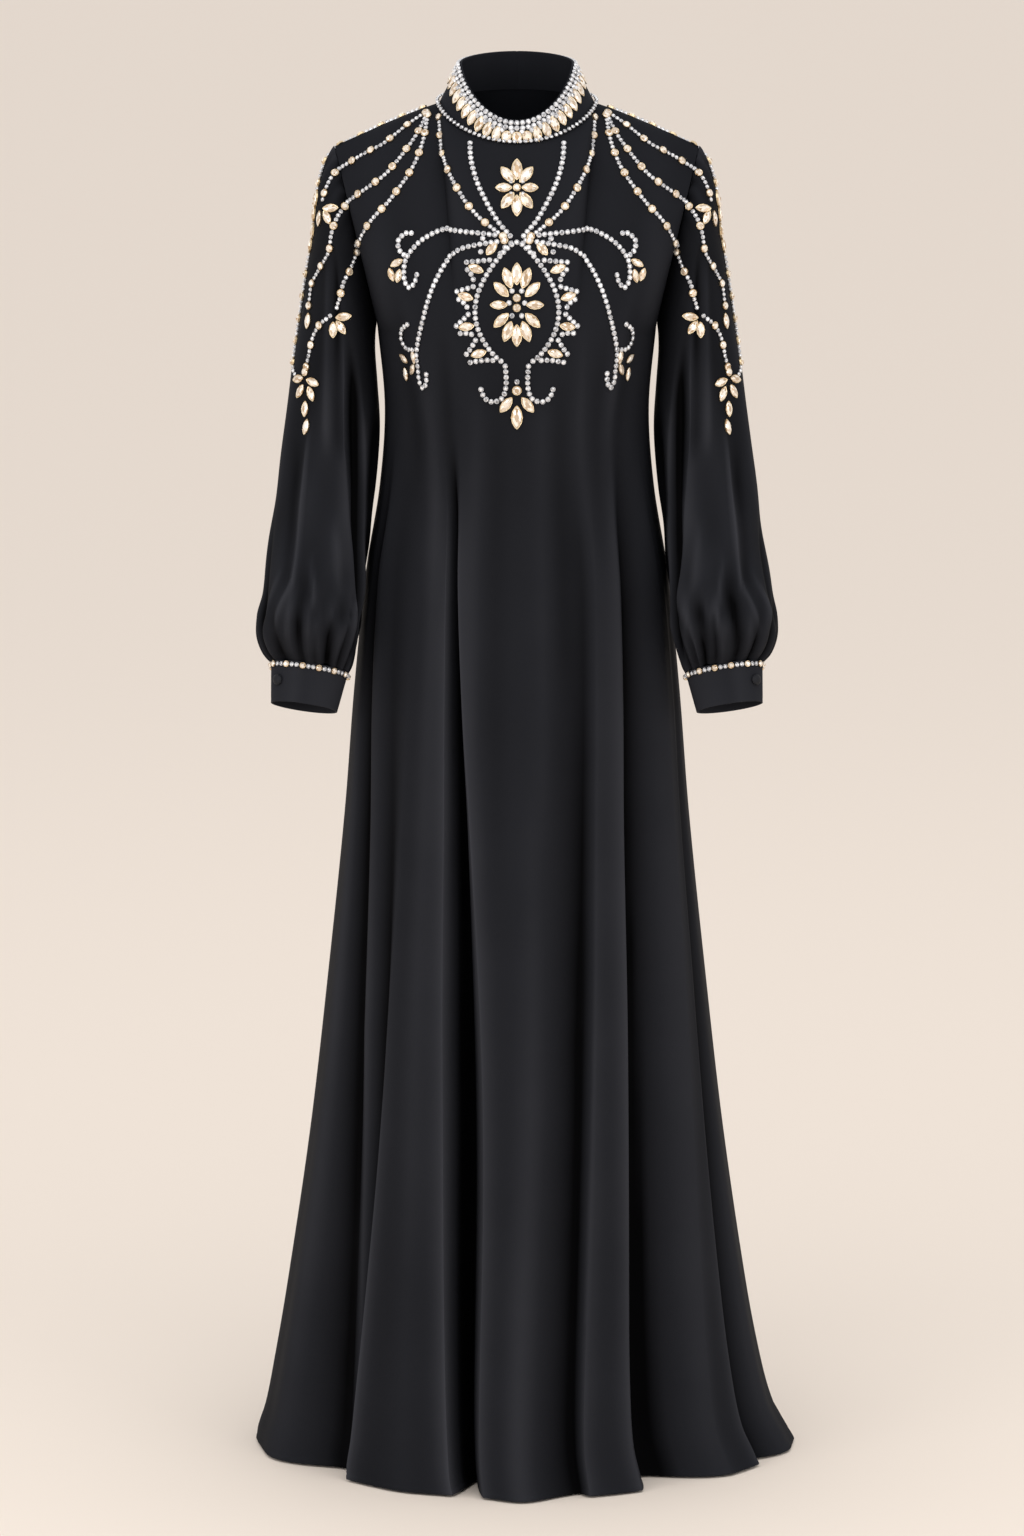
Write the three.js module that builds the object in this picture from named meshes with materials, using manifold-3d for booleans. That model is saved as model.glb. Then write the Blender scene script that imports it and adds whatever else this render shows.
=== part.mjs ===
// A floor-length black abaya, worn: front, back, two bishop sleeves gathered into
// buttoned cuffs, a stand collar, and strands of stones sewn on the collar, chest,
// shoulders and cuffs. Every cloth piece is a thin wall in the form it falls into.
// Millimetres. The origin is at the middle of the neck, level with the high points
// of the shoulders; +X is the wearer's left, -Y the front, +Z up.
import * as THREE from 'three';
import { mergeVertices } from 'three/addons/utils/BufferGeometryUtils.js';
import Module from 'manifold-3d';

// ---- Driving dimensions ----
const LENGTH = 1420;                  // shoulder to hem
const WALL = 1.4;                     // cloth wall
const SEAM = 0.3;                     // space left between pieces at a seam
const UNDERARM = -231;                // height of the underarm point
const SHOULDER = { half: 187, drop: 45 };
const NECK = { half: 80, front: 65, back: 55, frontDrop: 33, backRise: 6 };
const NECK_PART = NECK.half / SHOULDER.half;   // where the shoulder seam meets the neck seam
const ARMHOLE = { reach: 72, bulge: 0.74 };
const COLLAR = { topHalf: 58, topFront: 57, topBack: 46, side: 43, frontTop: -9, backTop: 47, wall: 1.8 };
const CUFF = { slant: 42, taper: 0.86, wall: 1.8, lapFrom: 22, lap: 48 };
const BUTTON = { radius: 5.7, height: 4.6, angle: 43, up: 0.52 };
const STRAND = { width: 5, height: 2.8, lift: 0.85 };
const PETAL_PLATE = 3.4;              // thickness of a flower of stones
const COLLAR_STONES = 2.2;            // and of the rows on the collar

// ---- Colours and finishes ----
const crepe = () => new THREE.MeshStandardMaterial({ color: 0x2b2c30, roughness: 0.62, metalness: 0 });
const buttonCloth = () => new THREE.MeshStandardMaterial({ color: 0x26272a, roughness: 0.55, metalness: 0 });
const stones = () => new THREE.MeshStandardMaterial({ color: 0xd9d2c8, roughness: 0.15, metalness: 0.1 });

// ---- Tables ----
// Plan section of the body by height: half width, depth to front and back, sideways
// shift, and how round the section is (2 is an ellipse, less is more pointed).
const LEVELS = [
  { z: UNDERARM, half: 144, front: 124, back: 106, shift: 0, round: 2.3 },
  { z: -317, half: 136.5, front: 124, back: 104, shift: 0, round: 2.2 },
  { z: -400, half: 142, front: 125, back: 106, shift: 0, round: 2.1 },
  { z: -487, half: 156, front: 130, back: 115, shift: 0, round: 2.05 },
  { z: -614, half: 169, front: 143, back: 132, shift: 0, round: 2 },
  { z: -742, half: 179, front: 156, back: 149, shift: 0, round: 1.95 },
  { z: -912, half: 196.5, front: 174, back: 170, shift: 0, round: 1.85 },
  { z: -1082, half: 216, front: 192, back: 190, shift: 0, round: 1.8 },
  { z: -1252, half: 241, front: 210, back: 208, shift: 0, round: 1.7 },
  { z: -1337, half: 256.5, front: 221, back: 217, shift: 1, round: 1.66 },
  { z: -1380, half: 267, front: 228, back: 223, shift: 3, round: 1.63 },
  { z: -1405, half: 278, front: 234, back: 229, shift: 6, round: 1.6 },
  { z: -LENGTH, half: 283, front: 238, back: 232, shift: 9, round: 1.6 },
];

// Crests and troughs of each panel, from the wearer's right seam to the left one.
// bust..hem: place across the panel (-1 to 1) from the bust up, at the hip, the knee
// and the hem; atHip..atHem: how far it stands out (+) or in (-), mm; cells: strips of
// the mesh from this line to the next.
const FOLD_LEVELS = { bust: -317, hip: -487, knee: -955, hem: -LENGTH };
const FRONT_FOLDS = [
  { bust: -1, hip: -1, knee: -1, hem: -1, atHip: 0, atKnee: 0, atHem: 0, cells: 2 },
  { bust: -0.97, hip: -0.965, knee: -0.93, hem: -0.9, atHip: 0, atKnee: 5, atHem: 11, cells: 2 },
  { bust: -0.94, hip: -0.94, knee: -0.86, hem: -0.73, atHip: -4, atKnee: -15, atHem: -24, cells: 1 },
  { bust: -0.9, hip: -0.9, knee: -0.775, hem: -0.665, atHip: 2, atKnee: 1, atHem: -17, cells: 1 },
  { bust: -0.82, hip: -0.8, knee: -0.69, hem: -0.65, atHip: -1, atKnee: -7, atHem: -24, cells: 1 },
  { bust: -0.67, hip: -0.667, knee: -0.648, hem: -0.635, atHip: 1, atKnee: 5, atHem: 9, cells: 2 },
  { bust: -0.6, hip: -0.565, knee: -0.51, hem: -0.44, atHip: 2, atKnee: 9, atHem: 15, cells: 2 },
  { bust: -0.55, hip: -0.467, knee: -0.373, hem: -0.25, atHip: 0, atKnee: 3, atHem: 6, cells: 2 },
  { bust: -0.49, hip: -0.427, knee: -0.285, hem: -0.21, atHip: -20, atKnee: -46, atHem: -58, cells: 2 },
  { bust: -NECK_PART, hip: -0.387, knee: -0.192, hem: -0.17, atHip: 0, atKnee: 4, atHem: 5, cells: 5 },
  { bust: 0, hip: 0.04, knee: 0.06, hem: -0.02, atHip: 2, atKnee: 9, atHem: 14, cells: 5 },
  { bust: NECK_PART, hip: 0.44, knee: 0.342, hem: 0.2, atHip: -4, atKnee: -11, atHem: -9, cells: 1 },
  { bust: 0.55, hip: 0.513, knee: 0.394, hem: 0.233, atHip: 1, atKnee: 3, atHem: 6, cells: 2 },
  { bust: 0.716, hip: 0.653, knee: 0.55, hem: 0.416, atHip: 3, atKnee: 6, atHem: 8, cells: 2 },
  { bust: 0.79, hip: 0.727, knee: 0.643, hem: 0.5, atHip: -8, atKnee: -27, atHem: -42, cells: 2 },
  { bust: 0.9, hip: 0.92, knee: 0.85, hem: 0.72, atHip: 2, atKnee: 6, atHem: 12, cells: 2 },
  { bust: 0.94, hip: 0.955, knee: 0.915, hem: 0.83, atHip: 1, atKnee: 2, atHem: 9, cells: 1 },
  { bust: 0.96, hip: 0.975, knee: 0.935, hem: 0.86, atHip: 0, atKnee: -3, atHem: -12, cells: 1 },
  { bust: 0.98, hip: 0.99, knee: 0.97, hem: 0.95, atHip: 0, atKnee: 1, atHem: 7, cells: 1 },
  { bust: 1, hip: 1, knee: 1, hem: 1, atHip: 0, atKnee: 0, atHem: 0, cells: 0 },
];
const BACK_FOLDS = [
  { bust: -1, hip: -1, knee: -1, hem: -1, atHip: 0, atKnee: 0, atHem: 0, cells: 2 },
  { bust: -0.93, hip: -0.93, knee: -0.92, hem: -0.9, atHip: 1, atKnee: 5, atHem: 14, cells: 2 },
  { bust: -0.8, hip: -0.79, knee: -0.76, hem: -0.72, atHip: -4, atKnee: -17, atHem: -30, cells: 2 },
  { bust: -0.68, hip: -0.64, knee: -0.6, hem: -0.56, atHip: 2, atKnee: 8, atHem: 12, cells: 2 },
  { bust: -0.5, hip: -0.46, knee: -0.4, hem: -0.34, atHip: 0, atKnee: 5, atHem: 9, cells: 2 },
  { bust: -NECK_PART, hip: -0.36, knee: -0.3, hem: -0.25, atHip: -12, atKnee: -34, atHem: -48, cells: 2 },
  { bust: -0.24, hip: -0.23, knee: -0.19, hem: -0.15, atHip: 1, atKnee: 5, atHem: 10, cells: 3 },
  { bust: 0, hip: 0.02, knee: 0.03, hem: 0.02, atHip: -2, atKnee: -5, atHem: -8, cells: 3 },
  { bust: 0.26, hip: 0.25, knee: 0.21, hem: 0.18, atHip: 2, atKnee: 7, atHem: 12, cells: 2 },
  { bust: NECK_PART, hip: 0.38, knee: 0.33, hem: 0.3, atHip: -7, atKnee: -25, atHem: -40, cells: 2 },
  { bust: 0.55, hip: 0.5, knee: 0.45, hem: 0.41, atHip: 1, atKnee: 5, atHem: 10, cells: 2 },
  { bust: 0.7, hip: 0.68, knee: 0.65, hem: 0.62, atHip: 2, atKnee: 7, atHem: 12, cells: 2 },
  { bust: 0.83, hip: 0.82, knee: 0.8, hem: 0.78, atHip: -3, atKnee: -14, atHem: -26, cells: 2 },
  { bust: 0.94, hip: 0.94, knee: 0.93, hem: 0.92, atHip: 1, atKnee: 4, atHem: 12, cells: 2 },
  { bust: 1, hip: 1, knee: 1, hem: 1, atHip: 0, atKnee: 0, atHem: 0, cells: 0 },
];
const HEIGHTS = [-1420, -1412, -1395, -1360, -1290, -1190, -1060, -920, -780, -650, -530, -430, -350, -285];
const YOKE_ROWS = 8;                  // rows from the underarm to the top edge

// Sleeve sections from the armhole to the cuff. along: part of the way down; outX,
// outZ, inX, inZ: the outermost and innermost points; y: middle, front to back;
// depth: half depth; pitch: how far the section tips up in front, degrees.
const SLEEVE = [
  { along: 0, outX: 187.3, outZ: -45, inX: 144.4, inZ: -231, y: 0, depth: 50, pitch: 0 },
  { along: 0.05, outX: 196, outZ: -56, inX: 146.5, inZ: -243, y: 0, depth: 56, pitch: 0 },
  { along: 0.12, outX: 205, outZ: -88, inX: 146, inZ: -262, y: 0, depth: 61, pitch: 0 },
  { along: 0.22, outX: 211, outZ: -140, inX: 144, inZ: -290, y: 0, depth: 63, pitch: 0 },
  { along: 0.34, outX: 221, outZ: -200, inX: 141.5, inZ: -325, y: -2, depth: 63, pitch: 0 },
  { along: 0.45, outX: 231.5, outZ: -266, inX: 141, inZ: -358, y: -6, depth: 62, pitch: 2 },
  { along: 0.56, outX: 240.5, outZ: -335, inX: 143.5, inZ: -400, y: -14, depth: 60, pitch: 6 },
  { along: 0.67, outX: 248.5, outZ: -402, inX: 148, inZ: -440, y: -28, depth: 60, pitch: 10 },
  { along: 0.77, outX: 256, outZ: -458, inX: 152.5, inZ: -480, y: -42, depth: 61, pitch: 14 },
  { along: 0.85, outX: 262.5, outZ: -500, inX: 156.5, inZ: -512, y: -54, depth: 62, pitch: 17 },
  { along: 0.9, outX: 267.5, outZ: -527, inX: 160, inZ: -537, y: -61, depth: 62, pitch: 18 },
  { along: 0.94, outX: 267, outZ: -546, inX: 164, inZ: -556, y: -66, depth: 58, pitch: 19 },
  { along: 0.975, outX: 261.5, outZ: -561, inX: 169, inZ: -572, y: -71, depth: 46, pitch: 20 },
  { along: 1, outX: 253.5, outZ: -571, inX: 174, inZ: -582.5, y: -74, depth: 33, pitch: 20 },
];
// Long folds of a sleeve: angle round the section from the outer side towards the
// front, at the cap, the elbow and the puff; how far out (+) or in (-); mesh strips.
const SLEEVE_FOLDS = [
  { cap: 0, elbow: 0, puff: 0, atElbow: 0, atPuff: 0, cells: 3 },
  { cap: 52, elbow: 60, puff: 66, atElbow: 2, atPuff: 3, cells: 2 },
  { cap: 84, elbow: 112, puff: 148, atElbow: 4, atPuff: 4, cells: 1 },
  { cap: 97, elbow: 128, puff: 160, atElbow: -12, atPuff: -10, cells: 1 },
  { cap: 112, elbow: 143, puff: 172, atElbow: -1, atPuff: 0, cells: 1 },
  { cap: 150, elbow: 164, puff: 184, atElbow: -7, atPuff: -5, cells: 2 },
  { cap: 215, elbow: 215, puff: 220, atElbow: 2, atPuff: 3, cells: 2 },
  { cap: 250, elbow: 255, puff: 256, atElbow: -8, atPuff: -7, cells: 2 },
  { cap: 295, elbow: 300, puff: 302, atElbow: 3, atPuff: 4, cells: 3 },
  { cap: 360, elbow: 360, puff: 360, atElbow: 0, atPuff: 0, cells: 0 },
];

// ---- Interpolation ----
const mix = (a, b, t) => a + (b - a) * t;
const smooth = (t) => { const c = Math.min(1, Math.max(0, t)); return c * c * (3 - 2 * c); };
const radians = THREE.MathUtils.degToRad;

// Smooth value of a table's column at a place along its key column.
function along(table, key, at, column) {
  const rising = table[1][key] > table[0][key] ? 1 : -1;
  let i = 0;
  while (i < table.length - 2 && (at - table[i + 1][key]) * rising > 0) i += 1;
  const row = (k) => table[Math.min(table.length - 1, Math.max(0, k))];
  const slope = (k) => (row(k + 1)[column] - row(k - 1)[column]) / (row(k + 1)[key] - row(k - 1)[key]);
  const span = row(i + 1)[key] - row(i)[key];
  const t = Math.min(1, Math.max(0, (at - row(i)[key]) / span));
  const [a, b] = [row(i)[column], row(i + 1)[column]];
  const [ma, mb] = [slope(i) * span, slope(i + 1) * span];
  return a * (2 * t ** 3 - 3 * t ** 2 + 1) + ma * (t ** 3 - 2 * t ** 2 + t)
    + b * (3 * t ** 2 - 2 * t ** 3) + mb * (t ** 3 - t ** 2);
}

// Places of the mesh lines across a fold table: whole numbers are its rows.
function stations(folds) {
  const list = [];
  folds.forEach((fold, k) => {
    for (let c = 0; c < fold.cells; c += 1) list.push(k + c / fold.cells);
  });
  list.push(folds.length - 1);
  return list;
}

function between(folds, q, column) {
  const k = Math.min(folds.length - 2, Math.floor(q));
  return mix(folds[k][column], folds[k + 1][column], q - k);
}

// ---- Body ----
function foldPlace(folds, q, z) {
  const { bust, hip, knee, hem } = FOLD_LEVELS;
  const rows = [{ z: bust, r: between(folds, q, 'bust') }, { z: hip, r: between(folds, q, 'hip') },
    { z: knee, r: between(folds, q, 'knee') }, { z: hem, r: between(folds, q, 'hem') }];
  return along(rows, 'z', z, 'r');
}

function foldRelief(folds, q, z) {
  const k = Math.min(folds.length - 2, Math.floor(q));
  const { bust, hip, knee, hem } = FOLD_LEVELS;
  const height = (fold) => {
    if (z > hip) return fold.atHip * smooth((bust - z) / (bust - hip));
    if (z > knee) return mix(fold.atHip, fold.atKnee, (hip - z) / (hip - knee));
    return mix(fold.atKnee, fold.atHem, (knee - z) / (knee - hem));
  };
  return mix(height(folds[k]), height(folds[k + 1]), smooth(q - k));
}

// A point of the front (side -1) or back (side 1) at a height below the underarm.
function skirtPoint(side, folds, q, z) {
  const r = foldPlace(folds, q, z);
  const round = along(LEVELS, 'z', z, 'round');
  const depth = along(LEVELS, 'z', z, side < 0 ? 'front' : 'back');
  const half = along(LEVELS, 'z', z, 'half');
  const turn = Math.sign(r) * Math.abs(r) ** 1.5 * Math.PI / 2;
  const relief = foldRelief(folds, q, z);
  const y = depth * Math.max(0, 1 - Math.abs(r) ** round) ** (1 / round);
  return new THREE.Vector3(half * r + along(LEVELS, 'z', z, 'shift') + relief * Math.sin(turn),
    side * (y + relief * Math.cos(turn)), z);
}

// A point of the neck seam at an angle from centre front, and of a panel's top edge.
function neckPoint(angle, inset = 0) {
  const c = Math.cos(angle);
  const depth = c > 0 ? NECK.front : NECK.back;
  const z = c > 0 ? -NECK.frontDrop * c ** 1.4 : NECK.backRise * Math.abs(c);
  return new THREE.Vector3((NECK.half - inset) * Math.sin(angle), -(depth - inset) * c, z);
}

function topEdge(side, r) {
  const x = SHOULDER.half * r;
  if (Math.abs(x) < NECK.half) {
    const angle = Math.asin(x / NECK.half);
    return neckPoint(side < 0 ? angle : Math.PI - angle);
  }
  const out = (Math.abs(x) - NECK.half) / (SHOULDER.half - NECK.half);
  return new THREE.Vector3(x, 0, -SHOULDER.drop * out ** 1.12);
}

// A point between the underarm level (t 0) and the top edge (t 1).
function yokePoint(side, folds, q, t) {
  const start = skirtPoint(side, folds, q, UNDERARM);
  const below = skirtPoint(side, folds, q, UNDERARM - 8);
  const r = between(folds, q, 'bust');
  const end = topEdge(side, r);
  const edge = smooth((Math.abs(r) - 0.72) / 0.28);
  const shoulder = smooth(Math.abs(end.x) / (NECK.half * 1.35));
  const rise = start.clone().sub(below).normalize();
  rise.lerp(new THREE.Vector3(Math.sign(r) * 0.1, side * 0.72, 0.66), edge);
  const fall = new THREE.Vector3(0, -side * 0.42, 0.9).lerp(new THREE.Vector3(0, -side, 0.12), shoulder);
  fall.lerp(new THREE.Vector3(Math.sign(r) * 0.16, -side * ARMHOLE.bulge, 0.64), edge).normalize();
  const first = start.clone().addScaledVector(rise, mix(78, ARMHOLE.reach, edge));
  const second = end.clone().addScaledVector(fall, -mix(mix(60, 56, shoulder), ARMHOLE.reach, edge));
  return new THREE.CubicBezierCurve3(start, first, second, end).getPoint(t);
}

const bodyRows = HEIGHTS.length + YOKE_ROWS;
function bodyPoint(side, folds, q, row) {
  const point = row < HEIGHTS.length
    ? skirtPoint(side, folds, q, mix(HEIGHTS[Math.floor(row)],
      HEIGHTS[Math.min(HEIGHTS.length - 1, Math.floor(row) + 1)], row % 1))
    : yokePoint(side, folds, q, (row - HEIGHTS.length) / YOKE_ROWS);
  point.y += side * SEAM / 2;
  return point;
}

// ---- Walls ----
// A closed wall from a grid of outer points and the ways in from them.
function wallGeometry(points, inward, thickness, closed) {
  const [rows, columns] = [points.length, points[0].length];
  const inner = moved(points, inward, thickness);
  const flat = [...points.flat(), ...inner.flat()];
  const id = (layer, i, j) => layer * rows * columns + i * columns + (j % columns);
  const faces = [];
  const quad = (a, b, c, d) => faces.push(a, b, c, a, c, d);
  const last = closed ? columns : columns - 1;
  for (let j = 0; j < last; j += 1) {
    for (let i = 0; i < rows - 1; i += 1) {
      quad(id(0, i, j), id(0, i, j + 1), id(0, i + 1, j + 1), id(0, i + 1, j));
      quad(id(1, i, j), id(1, i + 1, j), id(1, i + 1, j + 1), id(1, i, j + 1));
    }
    quad(id(0, 0, j), id(1, 0, j), id(1, 0, j + 1), id(0, 0, j + 1));
    quad(id(0, rows - 1, j), id(0, rows - 1, j + 1), id(1, rows - 1, j + 1), id(1, rows - 1, j));
  }
  for (let i = 0; !closed && i < rows - 1; i += 1) {
    quad(id(0, i, 0), id(0, i + 1, 0), id(1, i + 1, 0), id(1, i, 0));
    quad(id(0, i, last), id(1, i, last), id(1, i + 1, last), id(0, i + 1, last));
  }
  const geometry = new THREE.BufferGeometry();
  geometry.setAttribute('position', new THREE.Float32BufferAttribute(flat.flatMap((p) => p.toArray()), 3));
  geometry.setIndex(faces);
  return geometry;
}

function moved(points, inward, distance) {
  return points.map((line, i) => line.map((p, j) => p.clone().addScaledVector(inward[i][j], distance)));
}

// Ways in: against the mean normal of the grid's cells round each point.
function waysIn(points, closed) {
  const [rows, columns] = [points.length, points[0].length];
  const at = (i, j) => points[Math.min(rows - 1, Math.max(0, i))][
    closed ? (j + columns) % columns : Math.min(columns - 1, Math.max(0, j))];
  return points.map((line, i) => line.map((p, j) => {
    const across = at(i, j + 1).clone().sub(at(i, j - 1));
    const up = at(i + 1, j).clone().sub(at(i - 1, j));
    return up.cross(across).normalize();
  }));
}

const outward = (geometry) => {
  geometry.computeVertexNormals();
  return geometry;
};

// grown moves the outer face out, for the solid that keeps the stones off the cloth.
function bodyPanel(side, folds, grown = 0) {
  const places = stations(folds);
  const points = [];
  for (let row = 0; row <= bodyRows; row += 1) {
    const line = places.map((q) => bodyPoint(side, folds, q, row));
    points.push(side < 0 ? line : line.reverse());
  }
  const inward = waysIn(points, false);
  const columns = places.length;
  inward.forEach((line, i) => {
    line[0].setY(0).normalize();
    line[columns - 1].setY(0).normalize();
    const height = smooth((i - HEIGHTS.length - 2) / 3);
    [0, columns - 1].forEach((j) => line[j].lerp(new THREE.Vector3(0, -side, -0.25), height).normalize());
  });
  inward[bodyRows].forEach((way, j) => {
    if (Math.abs(points[bodyRows][j].x) > NECK.half - 1) way.set(0, 0, -1);
  });
  return outward(wallGeometry(moved(points, inward, -grown), inward, WALL + grown * 2, false));
}

// ---- Sleeves, cuffs and buttons; hand is 1 on the wearer's left, -1 on the right ----
function sleeveSection(hand, t) {
  const value = (column) => along(SLEEVE, 'along', t, column);
  const out = new THREE.Vector3(hand * value('outX'), value('y'), value('outZ'));
  const inn = new THREE.Vector3(hand * value('inX'), value('y'), value('inZ'));
  const pitch = radians(value('pitch'));
  return {
    middle: out.clone().add(inn).multiplyScalar(0.5),
    across: out.clone().sub(inn).multiplyScalar(0.5),
    forward: new THREE.Vector3(0, -Math.cos(pitch), Math.sin(pitch)).multiplyScalar(value('depth')),
  };
}

function sleeveAngle(q, t) {
  const rows = [['cap', 0.15], ['elbow', 0.6], ['puff', 0.92]];
  const angles = rows.map(([key, at]) => ({ at, angle: between(SLEEVE_FOLDS, q, key) }));
  return radians(along(angles, 'at', t, 'angle'));
}

function sleeveRelief(q, t) {
  const k = Math.min(SLEEVE_FOLDS.length - 2, Math.floor(q));
  const height = (fold) => mix(fold.atElbow, fold.atPuff, smooth((t - 0.6) / 0.3))
    * smooth((t - 0.2) / 0.3) * smooth((1 - t) / 0.1);
  return mix(height(SLEEVE_FOLDS[k]), height(SLEEVE_FOLDS[k + 1]), smooth(q - k));
}

// The armhole, by angle from the shoulder point over the front to the underarm.
function armholePoint(hand, angle) {
  const turn = (angle + 2 * Math.PI) % (2 * Math.PI);
  const side = turn <= Math.PI ? -1 : 1;
  const folds = side < 0 ? FRONT_FOLDS : BACK_FOLDS;
  const q = hand < 0 ? 0 : folds.length - 1;
  const t = Math.abs(1 - turn / Math.PI);
  const point = yokePoint(side, folds, q, t);
  return point.add(new THREE.Vector3(hand * SEAM * 2, 0, -SEAM * 0.4));
}

function sleevePoint(hand, q, t) {
  const { middle, across, forward } = sleeveSection(hand, t);
  const angle = sleeveAngle(q, t);
  const relief = sleeveRelief(q, t);
  const spread = middle.clone().addScaledVector(across, Math.cos(angle) * (1 + relief / across.length()))
    .addScaledVector(forward, Math.sin(angle) * (1 + relief / forward.length()));
  return armholePoint(hand, angle).lerp(spread, smooth(t / 0.12));
}

function sleeve(hand, grown = 0) {
  const places = stations(SLEEVE_FOLDS).slice(0, -1);
  if (hand > 0) places.reverse();
  const points = SLEEVE.map((row) => places.map((q) => sleevePoint(hand, q, row.along)));
  points.reverse();
  const inward = waysIn(points, true);
  const top = points.length - 1;
  const centre = new THREE.Vector3(hand * (SHOULDER.half - 21), 0, (UNDERARM - SHOULDER.drop) / 2);
  inward[top].forEach((way, j) => way.copy(centre).sub(points[top][j]).setX(0).normalize());
  return outward(wallGeometry(moved(points, inward, -grown), inward, WALL + grown * 2, true));
}

// The cuff's outer surface: angle from its outer side towards the front, and part of
// the way up. The last stretch lies over the first one, where the button closes it.
function cuffPoint(hand, degrees, up) {
  const { middle, across, forward } = sleeveSection(hand, 1);
  const axis = across.clone().cross(forward).normalize().multiplyScalar(hand);
  const over = smooth((degrees - (360 - CUFF.lapFrom - CUFF.lap * 1.5)) / (CUFF.lap * 0.5));
  const scale = mix(CUFF.taper, 1, up);
  const angle = radians(-degrees);
  const spread = new THREE.Vector3().addScaledVector(across, Math.cos(angle) * scale)
    .addScaledVector(forward, Math.sin(angle) * scale);
  spread.setLength(spread.length() + over * (CUFF.wall + 1.2 * SEAM));
  return middle.clone().add(spread).addScaledVector(axis, (1 - up) * CUFF.slant + SEAM * 2);
}

function cuff(hand) {
  const [rows, steps] = [3, 36];
  const points = [];
  for (let i = 0; i < rows; i += 1) {
    const line = [];
    for (let j = 0; j <= steps; j += 1) {
      const degrees = mix(-CUFF.lapFrom - CUFF.lap, 360 - CUFF.lapFrom, j / steps);
      line.push(cuffPoint(hand, degrees, i / (rows - 1)));
    }
    points.push(hand > 0 ? line : line.reverse());
  }
  return outward(wallGeometry(points, waysIn(points, false), CUFF.wall, false));
}

function button(hand) {
  const seat = cuffPoint(hand, 360 - BUTTON.angle, BUTTON.up);
  const beside = cuffPoint(hand, 364 - BUTTON.angle, BUTTON.up).sub(seat);
  const above = cuffPoint(hand, 360 - BUTTON.angle, BUTTON.up + 0.1).sub(seat);
  const out = beside.cross(above).normalize();
  if (out.y > 0) out.negate();
  const dome = [[0, 0], [0.8, 0], [1, 0.3], [0.86, 0.66], [0.5, 0.92], [0, 1]];
  const profile = dome.map(([r, h]) => new THREE.Vector2(r * BUTTON.radius, h * BUTTON.height));
  const geometry = new THREE.LatheGeometry(profile, 16);
  const mesh = new THREE.Mesh(geometry, buttonCloth());
  mesh.quaternion.setFromUnitVectors(new THREE.Vector3(0, 1, 0), out);
  mesh.position.copy(seat).addScaledVector(out, SEAM * 1.5);
  return mesh;
}

// ---- Collar ----
function collarPoint(angle, up) {
  const base = neckPoint(angle, SEAM).add(new THREE.Vector3(0, 0, SEAM));
  const c = Math.cos(angle);
  const depth = c > 0 ? COLLAR.topFront : COLLAR.topBack;
  const end = c > 0 ? COLLAR.frontTop : COLLAR.backTop;
  const top = new THREE.Vector3(COLLAR.topHalf * Math.sin(angle), -depth * c,
    mix(COLLAR.side, end, Math.abs(c) ** 1.4));
  return base.lerp(top, up);
}

// Its mesh lines stand on those of the two panels, so the seam closes all round.
function collarAngles() {
  const gap = Math.asin(SEAM / 2 / COLLAR.topBack);
  const inNeck = (folds) => stations(folds).map((q) => SHOULDER.half * between(folds, q, 'bust') / NECK.half)
    .filter((sine) => Math.abs(sine) < 0.99).map((sine) => Math.asin(sine));
  const back = inNeck(BACK_FOLDS);
  const rightBack = back.filter((angle) => angle < -gap).map((angle) => -Math.PI - angle).reverse();
  const leftBack = back.filter((angle) => angle > gap).map((angle) => Math.PI - angle).reverse();
  return [gap - Math.PI, ...rightBack.sort((a, b) => a - b), -Math.PI / 2, ...inNeck(FRONT_FOLDS),
    Math.PI / 2, ...leftBack.sort((a, b) => a - b), Math.PI - gap];
}

function collar() {
  const rows = 4;
  const angles = collarAngles();
  const steps = angles.length - 1;
  const points = [];
  for (let i = 0; i < rows; i += 1) {
    points.push(angles.map((angle) => collarPoint(angle, i / (rows - 1))));
  }
  const inward = waysIn(points, false);
  inward.forEach((line) => [0, steps].forEach((j) => line[j].setX(0).normalize()));
  return outward(wallGeometry(points, inward, COLLAR.wall, false));
}

// ---- Assembly of the cloth ----
const abaya = new THREE.Group();
function add(name, geometry, material) {
  const mesh = new THREE.Mesh(geometry, material);
  mesh.name = name;
  abaya.add(mesh);
  return mesh;
}

const front = add('front_panel', bodyPanel(-1, FRONT_FOLDS), crepe());
add('back_panel', bodyPanel(1, BACK_FOLDS), crepe());
const sleeveRight = add('sleeve_right', sleeve(-1), crepe());
const sleeveLeft = add('sleeve_left', sleeve(1), crepe());
add('cuff_right', cuff(-1), crepe());
add('cuff_left', cuff(1), crepe());
add('collar', collar(), crepe());
[['button_right', -1], ['button_left', 1]].forEach(([name, hand]) => {
  const mesh = button(hand);
  mesh.name = name;
  abaya.add(mesh);
});

// ---- Stones ----
const wasm = await Module();
wasm.setup();

function solid(geometry) {
  const bare = geometry.clone();
  ['normal', 'uv'].forEach((name) => bare.deleteAttribute(name));
  const merged = mergeVertices(bare);
  return new wasm.Manifold(new wasm.Mesh({
    numProp: 3,
    vertProperties: new Float32Array(merged.attributes.position.array),
    triVerts: new Uint32Array(merged.index.array),
  }));
}

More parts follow.
